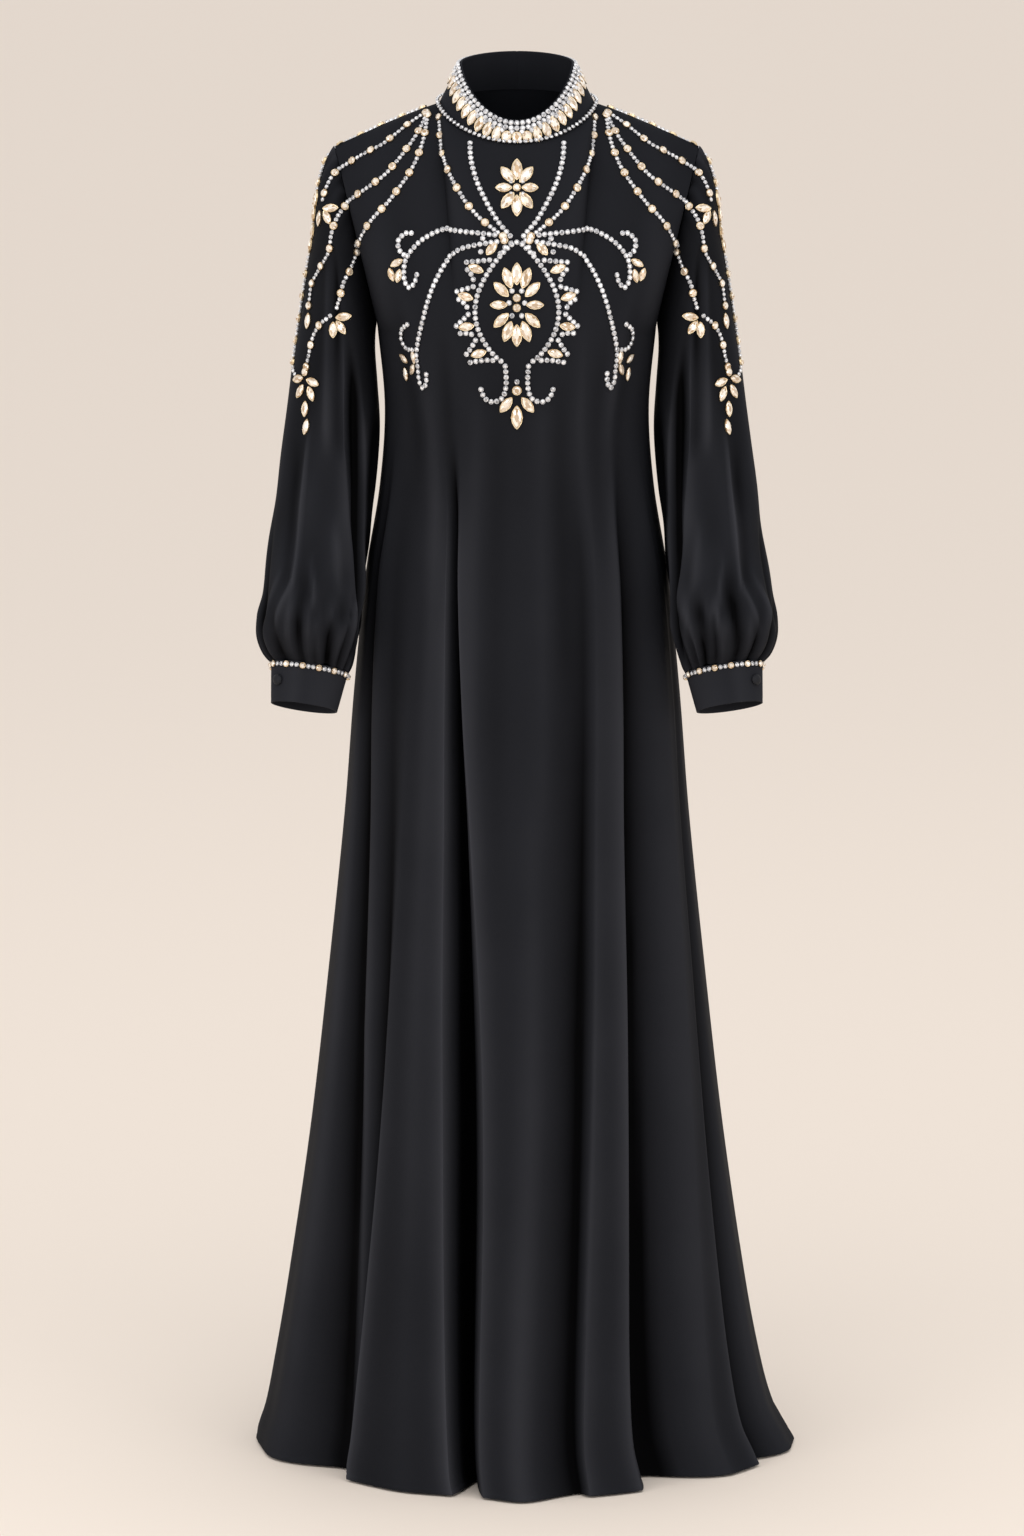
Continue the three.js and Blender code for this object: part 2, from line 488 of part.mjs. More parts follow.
// Pieces joined in one, and cut back to stand a seam's width off the cloth.
const cloth = [bodyPanel(-1, FRONT_FOLDS, SEAM), bodyPanel(1, BACK_FOLDS, SEAM),
  sleeve(-1, SEAM), sleeve(1, SEAM)].map(solid);
function joined(geometries) {
  const whole = geometries.map(solid).reduce((sum, piece) => sum.add(piece));
  const bodies = cloth.reduce((rest, panel) => rest.subtract(panel), whole).decompose();
  const mesh = bodies.sort((a, b) => b.volume() - a.volume())[0].getMesh();
  const geometry = new THREE.BufferGeometry();
  geometry.setAttribute('position', new THREE.BufferAttribute(mesh.vertProperties, 3));
  geometry.setIndex(new THREE.BufferAttribute(mesh.triVerts, 1));
  return outward(geometry);
}

// A strand of stones as one strip: a path of points on the cloth with their ways out.
function strip(path, width, height) {
  const last = path.length - 1;
  const section = path.map(({ point, out }, k) => {
    const [ahead, behind] = [path[Math.min(last, k + 1)].point, path[Math.max(0, k - 1)].point];
    const side = out.clone().cross(ahead.clone().sub(behind)).normalize().multiplyScalar(width / 2);
    const low = point.clone().addScaledVector(out, STRAND.lift);
    const high = point.clone().addScaledVector(out, STRAND.lift + height);
    return [low.clone().sub(side), low.clone().add(side), high.clone().add(side), high.clone().sub(side)];
  });
  const end = last * 4;
  const faces = [0, 2, 1, 0, 3, 2, end, end + 1, end + 2, end, end + 2, end + 3];
  for (let k = 0; k < end; k += 4) {
    for (let c = 0; c < 4; c += 1) {
      const [a, b] = [k + c, k + ((c + 1) % 4)];
      faces.push(a, b + 4, a + 4, a, b, b + 4);
    }
  }
  const geometry = new THREE.BufferGeometry();
  const numbers = section.flat().flatMap((p) => p.toArray());
  geometry.setAttribute('position', new THREE.Float32BufferAttribute(numbers, 3));
  geometry.setIndex(faces);
  return geometry;
}

// The cloth's outer face straight behind a place on the front.
abaya.updateMatrixWorld(true);
const ray = new THREE.Raycaster();
function onCloth(x, z) {
  ray.set(new THREE.Vector3(x, -600, z), new THREE.Vector3(0, 1, 0));
  const hit = ray.intersectObjects([front, sleeveRight, sleeveLeft])[0];
  return { point: hit.point, out: hit.face.normal.clone() };
}

// A strand through places given as pairs: out from the centre line, and height. It is
// taut, so it bridges a hollow of the cloth.
function strand(hand, places, stepsBetween = 2) {
  const curve = new THREE.CatmullRomCurve3(places.map(([x, z]) => new THREE.Vector3(hand * x, 0, z)));
  const path = curve.getPoints((places.length - 1) * stepsBetween).map((p) => onCloth(p.x, p.z));
  const last = path.length - 1;
  const ways = path.map(({ out }, k) => out.clone().add(path[Math.max(0, k - 1)].out)
    .add(path[Math.min(last, k + 1)].out).normalize());
  const taut = path.map(({ point }, k) => {
    const [before, after] = [path[Math.max(0, k - 1)].point, path[Math.min(last, k + 1)].point];
    const middle = before.clone().add(after).multiplyScalar(0.5);
    const rise = k === 0 || k === last ? 0 : Math.max(0, middle.sub(point).dot(ways[k]));
    return { point: point.clone().addScaledVector(ways[k], rise), out: ways[k] };
  });
  return strip(taut, STRAND.width, STRAND.height);
}

// A flat flower of pointed stones, standing on the cloth; reach is its petals' length.
function flower(x, z, petals, reachAcross, reachUp, turn = 0) {
  const { point, out } = onCloth(x, z);
  const across = new THREE.Vector3(0, 0, 1).cross(out).negate().normalize();
  const up = out.clone().cross(across).normalize();
  const shape = new THREE.Shape();
  const steps = petals * 4;
  for (let k = 0; k < steps; k += 1) {
    const angle = (k / steps) * 2 * Math.PI + turn;
    const reach = 0.46 + 0.54 * Math.abs(Math.cos((k / steps) * petals * Math.PI)) ** 0.8;
    const [px, py] = [reachAcross * reach * Math.cos(angle), reachUp * reach * Math.sin(angle)];
    if (k === 0) shape.moveTo(px, py); else shape.lineTo(px, py);
  }
  shape.closePath();
  const geometry = new THREE.ExtrudeGeometry(shape, { depth: PETAL_PLATE, bevelEnabled: false });
  const frame = new THREE.Matrix4().makeBasis(across, up, across.clone().cross(up));
  frame.setPosition(point.clone().addScaledVector(out, STRAND.lift * 1.2));
  return geometry.applyMatrix4(frame);
}

// Strands over the shoulder and down the upper sleeve, from the gather beside the neck.
const SWAGS = [
  [[97, -14], [126, -30], [156, -50], [170, -59], [182, -68], [191, -76], [198, -92], [200, -104]],
  [[97, -14], [121, -48], [148, -74], [164, -88], [177, -100], [187, -118], [193, -148], [205, -172],
    [213, -200], [216, -222]],
  [[97, -14], [106, -46], [121, -76], [147, -106], [155, -122], [163, -140], [171, -158], [178, -176],
    [184, -204], [184, -216]],
  [[184, -214], [186, -232], [193, -252], [208, -270], [217, -282]],
];
const SWAG_FLOWERS = [{ x: 200, z: -110 }, { x: 184, z: -222 }, { x: 217, z: -290 }];

function swags(hand) {
  return joined([...SWAGS.map((places) => strand(hand, places)),
    ...SWAG_FLOWERS.map(({ x, z }) => flower(hand * x, z, 5, 14, 15, Math.PI / 2))]);
}

// The chest: a pointed oval with four pointed lobes a side, a drop below it, two
// scrolls a side, and two strands a side from the neck to its peak.
const OVAL = { peak: -126, foot: -250, half: 38, stem: 12 };
const LOBE_TIPS = [[57, -143], [67, -175], [65, -212], [54, -243]];
const LOBE_FEET = [-134, -159, -189, -221, -247];
const SCROLLS = [
  [[14, -121], [36, -117], [60, -112], [82, -117], [98, -131], [104, -149], [112, -158], [120, -150],
    [117, -140]],
  [[14, -124], [38, -124], [60, -134], [74, -152], [84, -185], [93, -212], [98, -236], [104, -252],
    [96, -262], [88, -254]],
];
const NECK_STRANDS = [
  [[80, -14], [79, -34], [70, -60], [54, -88], [40, -102], [20, -117], [6, -126]],
  [[49, -34], [47, -48], [41, -68], [32, -90], [20, -106], [4, -124]],
];
const DROP = [[12, -250], [11, -272], [16, -287], [28, -291], [36, -280]];

function ovalHalf(z) {
  const part = (OVAL.peak - z) / (OVAL.peak - OVAL.foot);
  return OVAL.half * Math.sin(Math.PI * Math.min(1, part)) ** 0.75 + OVAL.stem * smooth(part);
}

function medallion() {
  const side = (hand) => {
    const oval = [0.01, 0.16, 0.33, 0.5, 0.67, 0.84, 1].map((part) => {
      const z = mix(OVAL.peak, OVAL.foot, part);
      return [ovalHalf(z), z];
    });
    const lobes = LOBE_TIPS.map(([x, z], k) => {
      const [upper, lower] = [LOBE_FEET[k], LOBE_FEET[k + 1]];
      return [[ovalHalf(upper), upper], [mix(ovalHalf(upper), x, 0.6), mix(upper, z, 0.7)], [x, z],
        [mix(ovalHalf(lower), x, 0.6), mix(lower, z, 0.7)], [ovalHalf(lower), lower]];
    });
    const curved = [oval, ...SCROLLS, ...NECK_STRANDS].map((places) => strand(hand, places));
    return [...curved, ...[...lobes, DROP].map((places) => strand(hand, places, 1))];
  };
  return joined([...side(1), ...side(-1), strand(1, [[-8, -126], [0, -125], [8, -126]], 1),
    strand(1, [[-16, -287], [0, -292], [16, -287]], 1), flower(0, -298, 5, 17, 22, -Math.PI / 2)]);
}

// Stones round the collar, along the neck seam and round the top of each cuff.
function collarStones() {
  const points = [0.2, 0.6, 0.96].map((up) => collarAngles().map((angle) => collarPoint(angle, up)));
  const inward = waysIn(points, false);
  const gap = points[0].length - 1;
  inward.forEach((line) => [0, gap].forEach((j) => line[j].setX(0).normalize()));
  const lifted = moved(points, inward, -COLLAR_STONES - SEAM * 1.5);
  return outward(wallGeometry(lifted, inward, COLLAR_STONES, false));
}

function neckStones() {
  const path = collarAngles().slice(1, -1).map((angle) => {
    const flat = new THREE.Vector3(Math.sin(angle), -Math.cos(angle), 0);
    const point = neckPoint(angle).addScaledVector(flat, 1.2);
    return { point: point.setZ(point.z + 1), out: flat.setZ(1).normalize() };
  });
  return outward(strip(path, 3, 2.6));
}

function cuffStones(hand) {
  const path = [];
  for (let degrees = 4 - CUFF.lapFrom; degrees <= 358 - CUFF.lapFrom; degrees += 11.8) {
    const point = cuffPoint(hand, degrees, 0.91);
    const flat = cuffPoint(hand, degrees + 3, 0.91).sub(cuffPoint(hand, degrees - 3, 0.91));
    const rise = cuffPoint(hand, degrees, 1).sub(point);
    path.push({ point, out: flat.cross(rise).multiplyScalar(hand).normalize() });
  }
  return outward(strip(path, 5, 4));
}

add('collar_stones', collarStones(), stones());
add('neck_stones', neckStones(), stones());
add('medallion_stones', medallion(), stones());
add('flower_upper', joined([flower(0, -75, 8, 22, 28)]), stones());
add('flower_centre', joined([flower(0, -190, 12, 25, 42)]), stones());
add('swags_right', swags(-1), stones());
add('swags_left', swags(1), stones());
add('cuff_stones_right', cuffStones(-1), stones());
add('cuff_stones_left', cuffStones(1), stones());

export default abaya;
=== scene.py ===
import math
from collections import namedtuple
from types import SimpleNamespace as Sizes

import bpy
import numpy as np
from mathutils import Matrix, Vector
from mathutils.bvhtree import BVHTree


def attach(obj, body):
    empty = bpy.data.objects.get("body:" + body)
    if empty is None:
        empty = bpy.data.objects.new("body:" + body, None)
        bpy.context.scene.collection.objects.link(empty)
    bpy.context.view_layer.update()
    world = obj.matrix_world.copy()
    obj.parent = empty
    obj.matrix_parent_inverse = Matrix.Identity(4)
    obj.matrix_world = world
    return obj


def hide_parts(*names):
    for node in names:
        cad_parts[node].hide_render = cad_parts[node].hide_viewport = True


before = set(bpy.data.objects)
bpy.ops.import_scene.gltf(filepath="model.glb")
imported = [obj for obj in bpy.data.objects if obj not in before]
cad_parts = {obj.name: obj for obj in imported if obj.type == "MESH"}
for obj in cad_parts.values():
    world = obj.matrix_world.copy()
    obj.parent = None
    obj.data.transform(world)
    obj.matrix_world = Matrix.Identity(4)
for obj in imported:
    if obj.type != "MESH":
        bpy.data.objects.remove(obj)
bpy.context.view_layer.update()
bpy.ops.object.select_all(action="DESELECT")

# ---- Studio ----
# A wide pale floor under large soft lights, one at each side, one above in front and
# one behind, and a long lens that looks a little down. None of it is the garment.
FLOOR_HEIGHT = -1.4225
FLOOR_SIZE = 80
FLOOR_COLOUR = "#f4e8db"
SKY_COLOUR = "#f8f7f8"
SKY_STRENGTH = 0.9
LIGHT_COLOUR = (1.0, 0.99, 0.98)
# name, place, aim, size, watts
SOFT_LIGHTS = [
    ("key_right", (-2.5, -2.7, 0.2), (0, 0, -0.7), 2.0, 25),
    ("key_left", (2.5, -2.7, 0.2), (0, 0, -0.7), 2.0, 20),
    ("front", (0, -2.8, 2.4), (0, -1.0, -1.4), 3.0, 32),
    ("back", (0, 2.6, 1.3), (0, 0, -0.6), 2.0, 4),
]
CAMERA_PLACE = (-0.005, -12.0, 1.8291)
CAMERA_AIM = (-0.005, 0.0, -0.6989)
LENS = Sizes(length=276.3, sensor=36, far=200)


def linear(colour):
    """An sRGB hex colour as the linear numbers that Blender works with."""
    parts = [int(colour[k:k + 2], 16) / 255 for k in (1, 3, 5)]
    return [c / 12.92 if c <= 0.04045 else ((c + 0.055) / 1.055) ** 2.4 for c in parts] + [1.0]


def node(tree, kind, inputs=(), **settings):
    """Adds a node; settings are its properties or inputs, inputs may be nodes or sockets."""
    made = tree.nodes.new("ShaderNode" + kind)
    for name, value in settings.items():
        if hasattr(made, name):
            setattr(made, name, value)
        else:
            made.inputs[name.replace("_", " ")].default_value = value
    for name, source in inputs:
        source = source.outputs[0] if isinstance(source, bpy.types.Node) else source
        if isinstance(source, bpy.types.NodeSocket):
            tree.links.new(source, made.inputs[name])
        else:
            made.inputs[name].default_value = source
    return made


def new_material(name):
    """A material and its empty node tree."""
    material = bpy.data.materials.new(name)
    material.use_nodes = True
    material.node_tree.nodes.clear()
    return material, material.node_tree


def surface(tree, inputs=(), **settings):
    """Ends a material with its shader and its output."""
    shader = node(tree, "BsdfPrincipled", inputs, **settings)
    node(tree, "OutputMaterial", [("Surface", shader)])


def added(name, data):
    """Adds an object to the scene."""
    made = bpy.data.objects.new(name, data)
    bpy.context.collection.objects.link(made)
    return made


def aimed(name, data, place, aim):
    """Puts a light or camera at its place, turned to what it aims at."""
    made = added(name, data)
    made.location = place
    made.rotation_euler = (Vector(aim) - Vector(place)).to_track_quat("-Z", "Y").to_euler()
    return made


bpy.ops.mesh.primitive_plane_add(size=FLOOR_SIZE, location=(0, 0, FLOOR_HEIGHT))
floor = bpy.context.object
floor.name = "studio_floor"
# A matt painted floor.
paint, tree = new_material("matt_floor_paint")
surface(tree, Base_Color=linear(FLOOR_COLOUR), Roughness=0.9, Specular_IOR_Level=0.15)
floor.data.materials.append(paint)

world = bpy.data.worlds.new("studio_air")
world.use_nodes = True
air = world.node_tree.nodes["Background"]
air.inputs["Color"].default_value = linear(SKY_COLOUR)
air.inputs["Strength"].default_value = SKY_STRENGTH
bpy.context.scene.world = world
bpy.context.scene.view_settings.view_transform = "Standard"

for name, place, aim, size, watts in SOFT_LIGHTS:
    light = bpy.data.lights.new(name, "AREA")
    light.shape = "SQUARE"
    light.size = size
    light.energy = watts
    light.color = LIGHT_COLOUR
    aimed(name, light, place, aim)

camera = bpy.data.cameras.new("camera")
camera.sensor_width = LENS.sensor
camera.lens = LENS.length
camera.clip_end = LENS.far
bpy.context.scene.camera = aimed("camera", camera, CAMERA_PLACE, CAMERA_AIM)

# ---- Front panel ----
# One piece of black crepe from the neck and shoulders to the hem, cut flared and hung
# from the shoulders, so it falls into deep folds from the hip down. It is sewn to the
# back at shoulders and sides, and its hem is a narrow rolled turning.
LENGTH = 1420
CLOTH = 1.2
SEAM = 0.3
UNDERARM = -231
SHOULDER = Sizes(half=187, drop=45, curve=1.12, start=108)
NECK = Sizes(half=80, front=65, back=55, front_drop=33, back_rise=6, curve=1.4)
NECK_PART = NECK.half / SHOULDER.half
ARMHOLE = Sizes(start=0.72, reach=72, centre_in=21)
YOKE_REACH = Sizes(bottom=78, neck=60, shoulder=56)
# Ways the yoke leaves the underarm level and comes to its top edge: aside, outward, up
YOKE_WAYS = {"underarm": (0.1, 0.72, 0.66), "neck": (0, -0.42, 0.9), "shoulder": (0, -1, 0.12),
             "armhole": (0.16, -0.74, 0.64)}
# z, half width, depth to the front, depth to the back, sideways shift, roundness
LEVELS = np.array([
    (UNDERARM, 144, 124, 106, 0, 2.3),
    (-317, 136.5, 124, 104, 0, 2.2),
    (-400, 142, 125, 106, 0, 2.1),
    (-487, 156, 130, 115, 0, 2.05),
    (-614, 169, 143, 132, 0, 2),
    (-742, 179, 156, 149, 0, 1.95),
    (-912, 196.5, 174, 170, 0, 1.85),
    (-1082, 216, 192, 190, 0, 1.8),
    (-1252, 241, 210, 208, 0, 1.7),
    (-1337, 256.5, 221, 217, 1, 1.66),
    (-1380, 267, 228, 223, 3, 1.63),
    (-1405, 278, 234, 229, 6, 1.6),
    (-LENGTH, 283, 238, 232, 9, 1.6),
])
# Crests and troughs from the wearer's right seam to the left: place across at bust,
# hip, knee and hem; how far out at hip, knee and hem; mesh strips; how crisp (0 to 1)
FOLD_LEVELS = (-317, -487, -955, -LENGTH)
FRONT_FOLDS = np.array([
    (-1, -1, -1, -1, 0, 0, 0, 2, 0),
    (-0.97, -0.965, -0.93, -0.9, 0, 5, 11, 2, 0),
    (-0.94, -0.94, -0.86, -0.73, -4, -15, -24, 1, 0),
    (-0.9, -0.9, -0.775, -0.665, 2, 1, -17, 1, 0.6),
    (-0.82, -0.8, -0.69, -0.65, -1, -7, -24, 1, 0.2),
    (-0.67, -0.667, -0.648, -0.635, 1, 5, 9, 2, 0.7),
    (-0.6, -0.565, -0.51, -0.44, 2, 9, 15, 2, 0),
    (-0.55, -0.467, -0.377, -0.265, 0, 3, 6, 2, 0.8),
    (-0.49, -0.427, -0.285, -0.21, -20, -46, -58, 2, 0.2),
    (-NECK_PART, -0.387, -0.182, -0.15, 0, 4, 5, 5, 0.6),
    (0, 0.04, 0.06, -0.02, 2, 9, 14, 5, 0),
    (NECK_PART, 0.44, 0.342, 0.2, -4, -11, -9, 1, 0.3),
    (0.55, 0.513, 0.394, 0.233, 1, 3, 6, 2, 0.9),
    (0.716, 0.653, 0.55, 0.416, 3, 6, 8, 2, 0.5),
    (0.79, 0.727, 0.643, 0.5, -8, -27, -42, 2, 0.1),
    (0.9, 0.92, 0.85, 0.72, 2, 6, 12, 2, 0.3),
    (0.94, 0.955, 0.915, 0.83, 1, 2, 9, 1, 0.4),
    (0.96, 0.975, 0.935, 0.86, 0, -3, -12, 1, 0),
    (0.98, 0.99, 0.97, 0.95, 0, 1, 7, 1, 0),
    (1, 1, 1, 1, 0, 0, 0, 0, 0),
])
# Soft creases that the fall of the cloth leaves: place across and height at the upper
# end and at the lower one, half width, and height of the ridge (+) or groove (-)
FRONT_CREASES = [
    (-0.62, -260, -0.6, -420, 9, 1.6),
    (-0.53, -240, -0.5, -470, 7, -1.5),
    (-0.3, -300, -0.27, -640, 10, 1.3),
    (-0.15, -330, -0.12, -760, 12, -1.1),
    (0.18, -300, 0.16, -700, 11, 1.2),
    (0.33, -300, 0.31, -560, 9, -1.2),
    (0.47, -230, 0.48, -430, 8, 1.5),
    (0.63, -250, 0.6, -440, 8, -1.4),
    (-0.8, -150, -0.66, -330, 9, 1.8),
    (0.8, -150, 0.68, -330, 9, 1.8),
    (-0.86, -190, -0.74, -360, 8, -1.6),
    (0.86, -190, 0.75, -360, 8, -1.6),
]
# How creases fade out past their ends: over what distance at each (downwards is minus),
# and how much of that lies beyond the end
CREASE_ENDS = Sizes(upper=-90, lower=-120, beyond=2 / 3)
# Faint waves all over the panel: weight, widths across and down, phase; they come in
# from the seams and from the chest down
SOFT_WAVES = [(1, 23, 160, 0), (1, 41, -95, 0), (0.6, 13, 210, 1.3)]
WAVES = Sizes(height=0.45, seam=0.12, chest=-60, over=90)
# Mesh rows at the hem: height, and how far the narrow rolled turning stands out there
ROLLED_HEM = np.array([(0, 0.09), (0.8, 0.36), (2, 0.45), (3.4, 0.45), (4.4, 0.36), (5.2, 0.045),
                       (6.2, 0), (8, 0), (11, 0)])
FINER = 5
FIRST_ROW = 16
SKIRT_ROWS = 150
YOKE_ROWS = 46
# The fold attribute, which paints shade and sheen into the crepe's colour: how far along the
# cloth it compares heights, the height that counts as level on an open panel and on a closed
# sleeve, and how deep a fold is when its painted shade turns darker and over how much more it is darkest
FOLD_REACH = 26
FOLD_LEVEL = Sizes(open=2, closed=3.2)
DEEP_FOLD = Sizes(start=18, over=14)
# The height of a full ridge, which takes the full painted sheen, on the skirt and on the yoke, and how
# far it blends
FULL_RIDGE = Sizes(skirt=6.5, yoke=16, blend=60)
# How the thickness of the cloth turns at the armhole edges, which the sleeve is sewn to:
# from where on the yoke (0 at the underarm, 1 at the top), over how much, and its dip
EDGE_TURN = Sizes(start=0.25, over=0.4, down=-0.25)
SMOOTH_UNDER = math.radians(50)
# The crepe's own colour sits between a painted shade for its hollows and a painted sheen for its ridges
CREPE_PAINTED_SHADE = "#060607"
CREPE_COLOUR = "#212226"
CREPE_PAINTED_SHEEN = "#38393e"
# Width, length and area of a piece as cut, in metres
Cut = namedtuple("Cut", "width length area", defaults=[None])


def smooth(t):
    """0 below 0, 1 above 1, and an S-shaped rise between."""
    c = np.clip(t, 0, 1)
    return c * c * (3 - 2 * c)


def mix(a, b, t):
    return a + (b - a) * t


def fade(t, start, rise, end, fall):
    """1 between two ends, and 0 beyond them."""
    return smooth((t - start) / rise) * smooth((end - t) / fall)


def swell(gap, width):
    """A rounded ridge: 1 at its middle, 0 well beyond its half width."""
    return np.exp(-(gap / width) ** 2)


def together(*parts):
    """Arrays of coordinates as one array of points."""
    return np.stack(np.broadcast_arrays(*parts), axis=-1)


def unit(ways):
    """Vectors with their lengths made one."""
    return ways / np.maximum(1e-9, np.linalg.norm(ways, axis=-1, keepdims=True))


def along(keys, values, at):
    """Smooth value of a table's column at places along its key column."""
    keys, values = np.asarray(keys, float), np.asarray(values, float)
    if keys[0] > keys[-1]:
        keys, values = keys[::-1], values[::-1]
    steps = np.arange(len(keys))
    low, high = np.maximum(steps - 1, 0), np.minimum(steps + 1, len(keys) - 1)
    wide = (slice(None),) + (None,) * (values.ndim - 1)
    slopes = (values[high] - values[low]) / (keys[high] - keys[low])[wide]
    at = np.asarray(at, float)
    i = np.clip(np.searchsorted(keys, at, side="right") - 1, 0, len(keys) - 2)
    span = (keys[i + 1] - keys[i])[wide]
    t = np.clip((at - keys[i])[wide] / span, 0, 1)
    return (values[i] * (2 * t ** 3 - 3 * t ** 2 + 1) + slopes[i] * span * (t ** 3 - 2 * t ** 2 + t)
            + values[i + 1] * (3 * t ** 2 - 2 * t ** 3) + slopes[i + 1] * span * (t ** 3 - t ** 2))


def distances(line):
    """How far each point of a line is along it."""
    step = np.cumsum(np.linalg.norm(np.diff(line, axis=-2), axis=-1), axis=-1)
    return np.concatenate([0 * step[..., :1], step], axis=-1)


def stations(folds, cells):
    """Places of the mesh lines across a fold table: whole numbers are its rows."""
    lines = [k + np.arange(int(n) * FINER) / (int(n) * FINER) for k, n in enumerate(cells) if n]
    return np.append(np.concatenate(lines), len(folds) - 1)


def between(folds, q):
    """Rows of a table at places between them."""
    k = np.minimum(len(folds) - 2, np.floor(q).astype(int))
    return mix(folds[k], folds[k + 1], (q - k)[:, None])


def blended(heights, crisp, q):
    """Heights at the folds, carried from each to the next in a round or a crisp line."""
    k = np.minimum(len(crisp) - 2, np.floor(q).astype(int))
    t = q - k
    edge = mix(crisp[k], crisp[k + 1], t)
    return mix(heights[:, k], heights[:, k + 1], mix(smooth(t), t, edge))


def fold_relief(folds, q, z):
    """How far out the folds stand from the plain form of the body, in millimetres."""
    level = np.interp(-z, -np.array(FOLD_LEVELS), range(4))
    level = np.where(level < 1, smooth(level), level)
    heights = between(np.stack([0 * folds[:, 4], *folds[:, 4:7].T]), level)
    return blended(heights, folds[:, 8], q)


def skirt(side, folds, q, z):
    """Points of the front (side -1) or back (side 1) below the underarm."""
    z = np.asarray(z, float)
    r = along(FOLD_LEVELS, between(folds, q)[:, :4].T, z)
    relief = fold_relief(folds, q, z)
    half, front, back, shift, round_ = along(LEVELS[:, 0], LEVELS[:, 1:], z).T[..., None]
    depth = front if side < 0 else back
    turn = np.sign(r) * np.abs(r) ** 1.5 * math.pi / 2
    y = depth * np.maximum(0, 1 - np.abs(r) ** round_) ** (1 / round_)
    return together(half * r + shift + relief * np.sin(turn), side * (y + relief * np.cos(turn)),
                    z[:, None])


def neck_point(angle, inset=0.0):
    """Points of the neck seam at angles from centre front."""
    c = np.cos(angle)
    depth = np.where(c > 0, NECK.front, NECK.back)
    z = np.where(c > 0, -NECK.front_drop * np.abs(c) ** NECK.curve, NECK.back_rise * np.abs(c))
    return together((NECK.half - inset) * np.sin(angle), -(depth - inset) * c, z)


def top_edge(side, r):
    """Points of a panel's neckline and shoulders."""
    x = SHOULDER.half * r
    angle = np.arcsin(np.clip(x / NECK.half, -1, 1))
    neck = neck_point(angle if side < 0 else math.pi - angle)
    out = np.maximum(0, (np.abs(x) - NECK.half) / (SHOULDER.half - NECK.half))
    slope = together(x, 0, -SHOULDER.drop * out ** SHOULDER.curve)
    return np.where((np.abs(x) < NECK.half)[:, None], neck, slope)


def yoke(side, folds, q, t):
    """Points between the underarm level (t 0) and the top edge (t 1)."""
    start, below = skirt(side, folds, q, [UNDERARM, UNDERARM - 8])
    r = between(folds, q)[:, 0]
    end = top_edge(side, r)
    underarm, neck, shoulder_end, armhole_top = [together(np.sign(r) * aside, side * outward, up)
                                                 for aside, outward, up in YOKE_WAYS.values()]
    edge = smooth((np.abs(r) - ARMHOLE.start) / (1 - ARMHOLE.start))[:, None]
    shoulder = smooth(np.abs(end[:, 0]) / SHOULDER.start)[:, None]
    rise = mix(unit(start - below), underarm, edge)
    fall = unit(mix(mix(neck, shoulder_end, shoulder), armhole_top, edge))
    reach = mix(YOKE_REACH.neck, YOKE_REACH.shoulder, shoulder)
    first = start + rise * mix(YOKE_REACH.bottom, ARMHOLE.reach, edge)
    second = end - fall * mix(reach, ARMHOLE.reach, edge)
    t = np.asarray(t, float)[:, None, None]
    s = 1 - t
    return s ** 3 * start + 3 * s ** 2 * t * first + 3 * s * t ** 2 * second + t ** 3 * end


def ways_in(points, closed=False):
    """Inward normals of a grid of points."""
    if closed:
        across = np.roll(points, -1, axis=1) - np.roll(points, 1, axis=1)
    else:
        across = np.gradient(points, axis=1)
    up = np.gradient(points, axis=0)
    return unit(np.cross(up, across))


def lengths(points, closed=False):
    """Distances over the cloth along its rows and up its columns, from the middle, metres."""
    ring = np.concatenate([points, points[:, :1]], axis=1) if closed else points
    u, v = distances(ring), distances(ring.swapaxes(0, 1)).mean(axis=0)
    return together(u - u[:, -1:] / 2, v[:, None]) / 1000


def fold_heights(points, inward, closed, relief, full):
    """How far the cloth stands over the cloth beside it, for the painted shade and sheen: -1 in a deep
    fold, 1 on a ridge.
    """
    heights = np.zeros(points.shape[:2])
    for k, row in enumerate(points):
        step = np.linalg.norm(np.roll(row, -1, axis=0) - row, axis=1)
        if not closed:
            step[-1] = 0
        place = distances(row)
        gap = np.abs(place[:, None] - place)
        if closed:
            gap = np.minimum(gap, step.sum() - gap)
        weight = swell(gap, FOLD_REACH) * (step + np.roll(step, 1))
        beside = weight @ row / weight.sum(axis=1, keepdims=True)
        heights[k] = np.sum((beside - row) * inward[k], axis=1)
    level = FOLD_LEVEL.closed if closed else FOLD_LEVEL.open
    deep = np.minimum(0, relief + DEEP_FOLD.start) / DEEP_FOLD.over
    return np.clip((heights - level) / full + deep, -1, 1)


def quads(*corners):
    """Faces from four arrays of corner numbers."""
    return together(*corners).reshape(-1, 4)


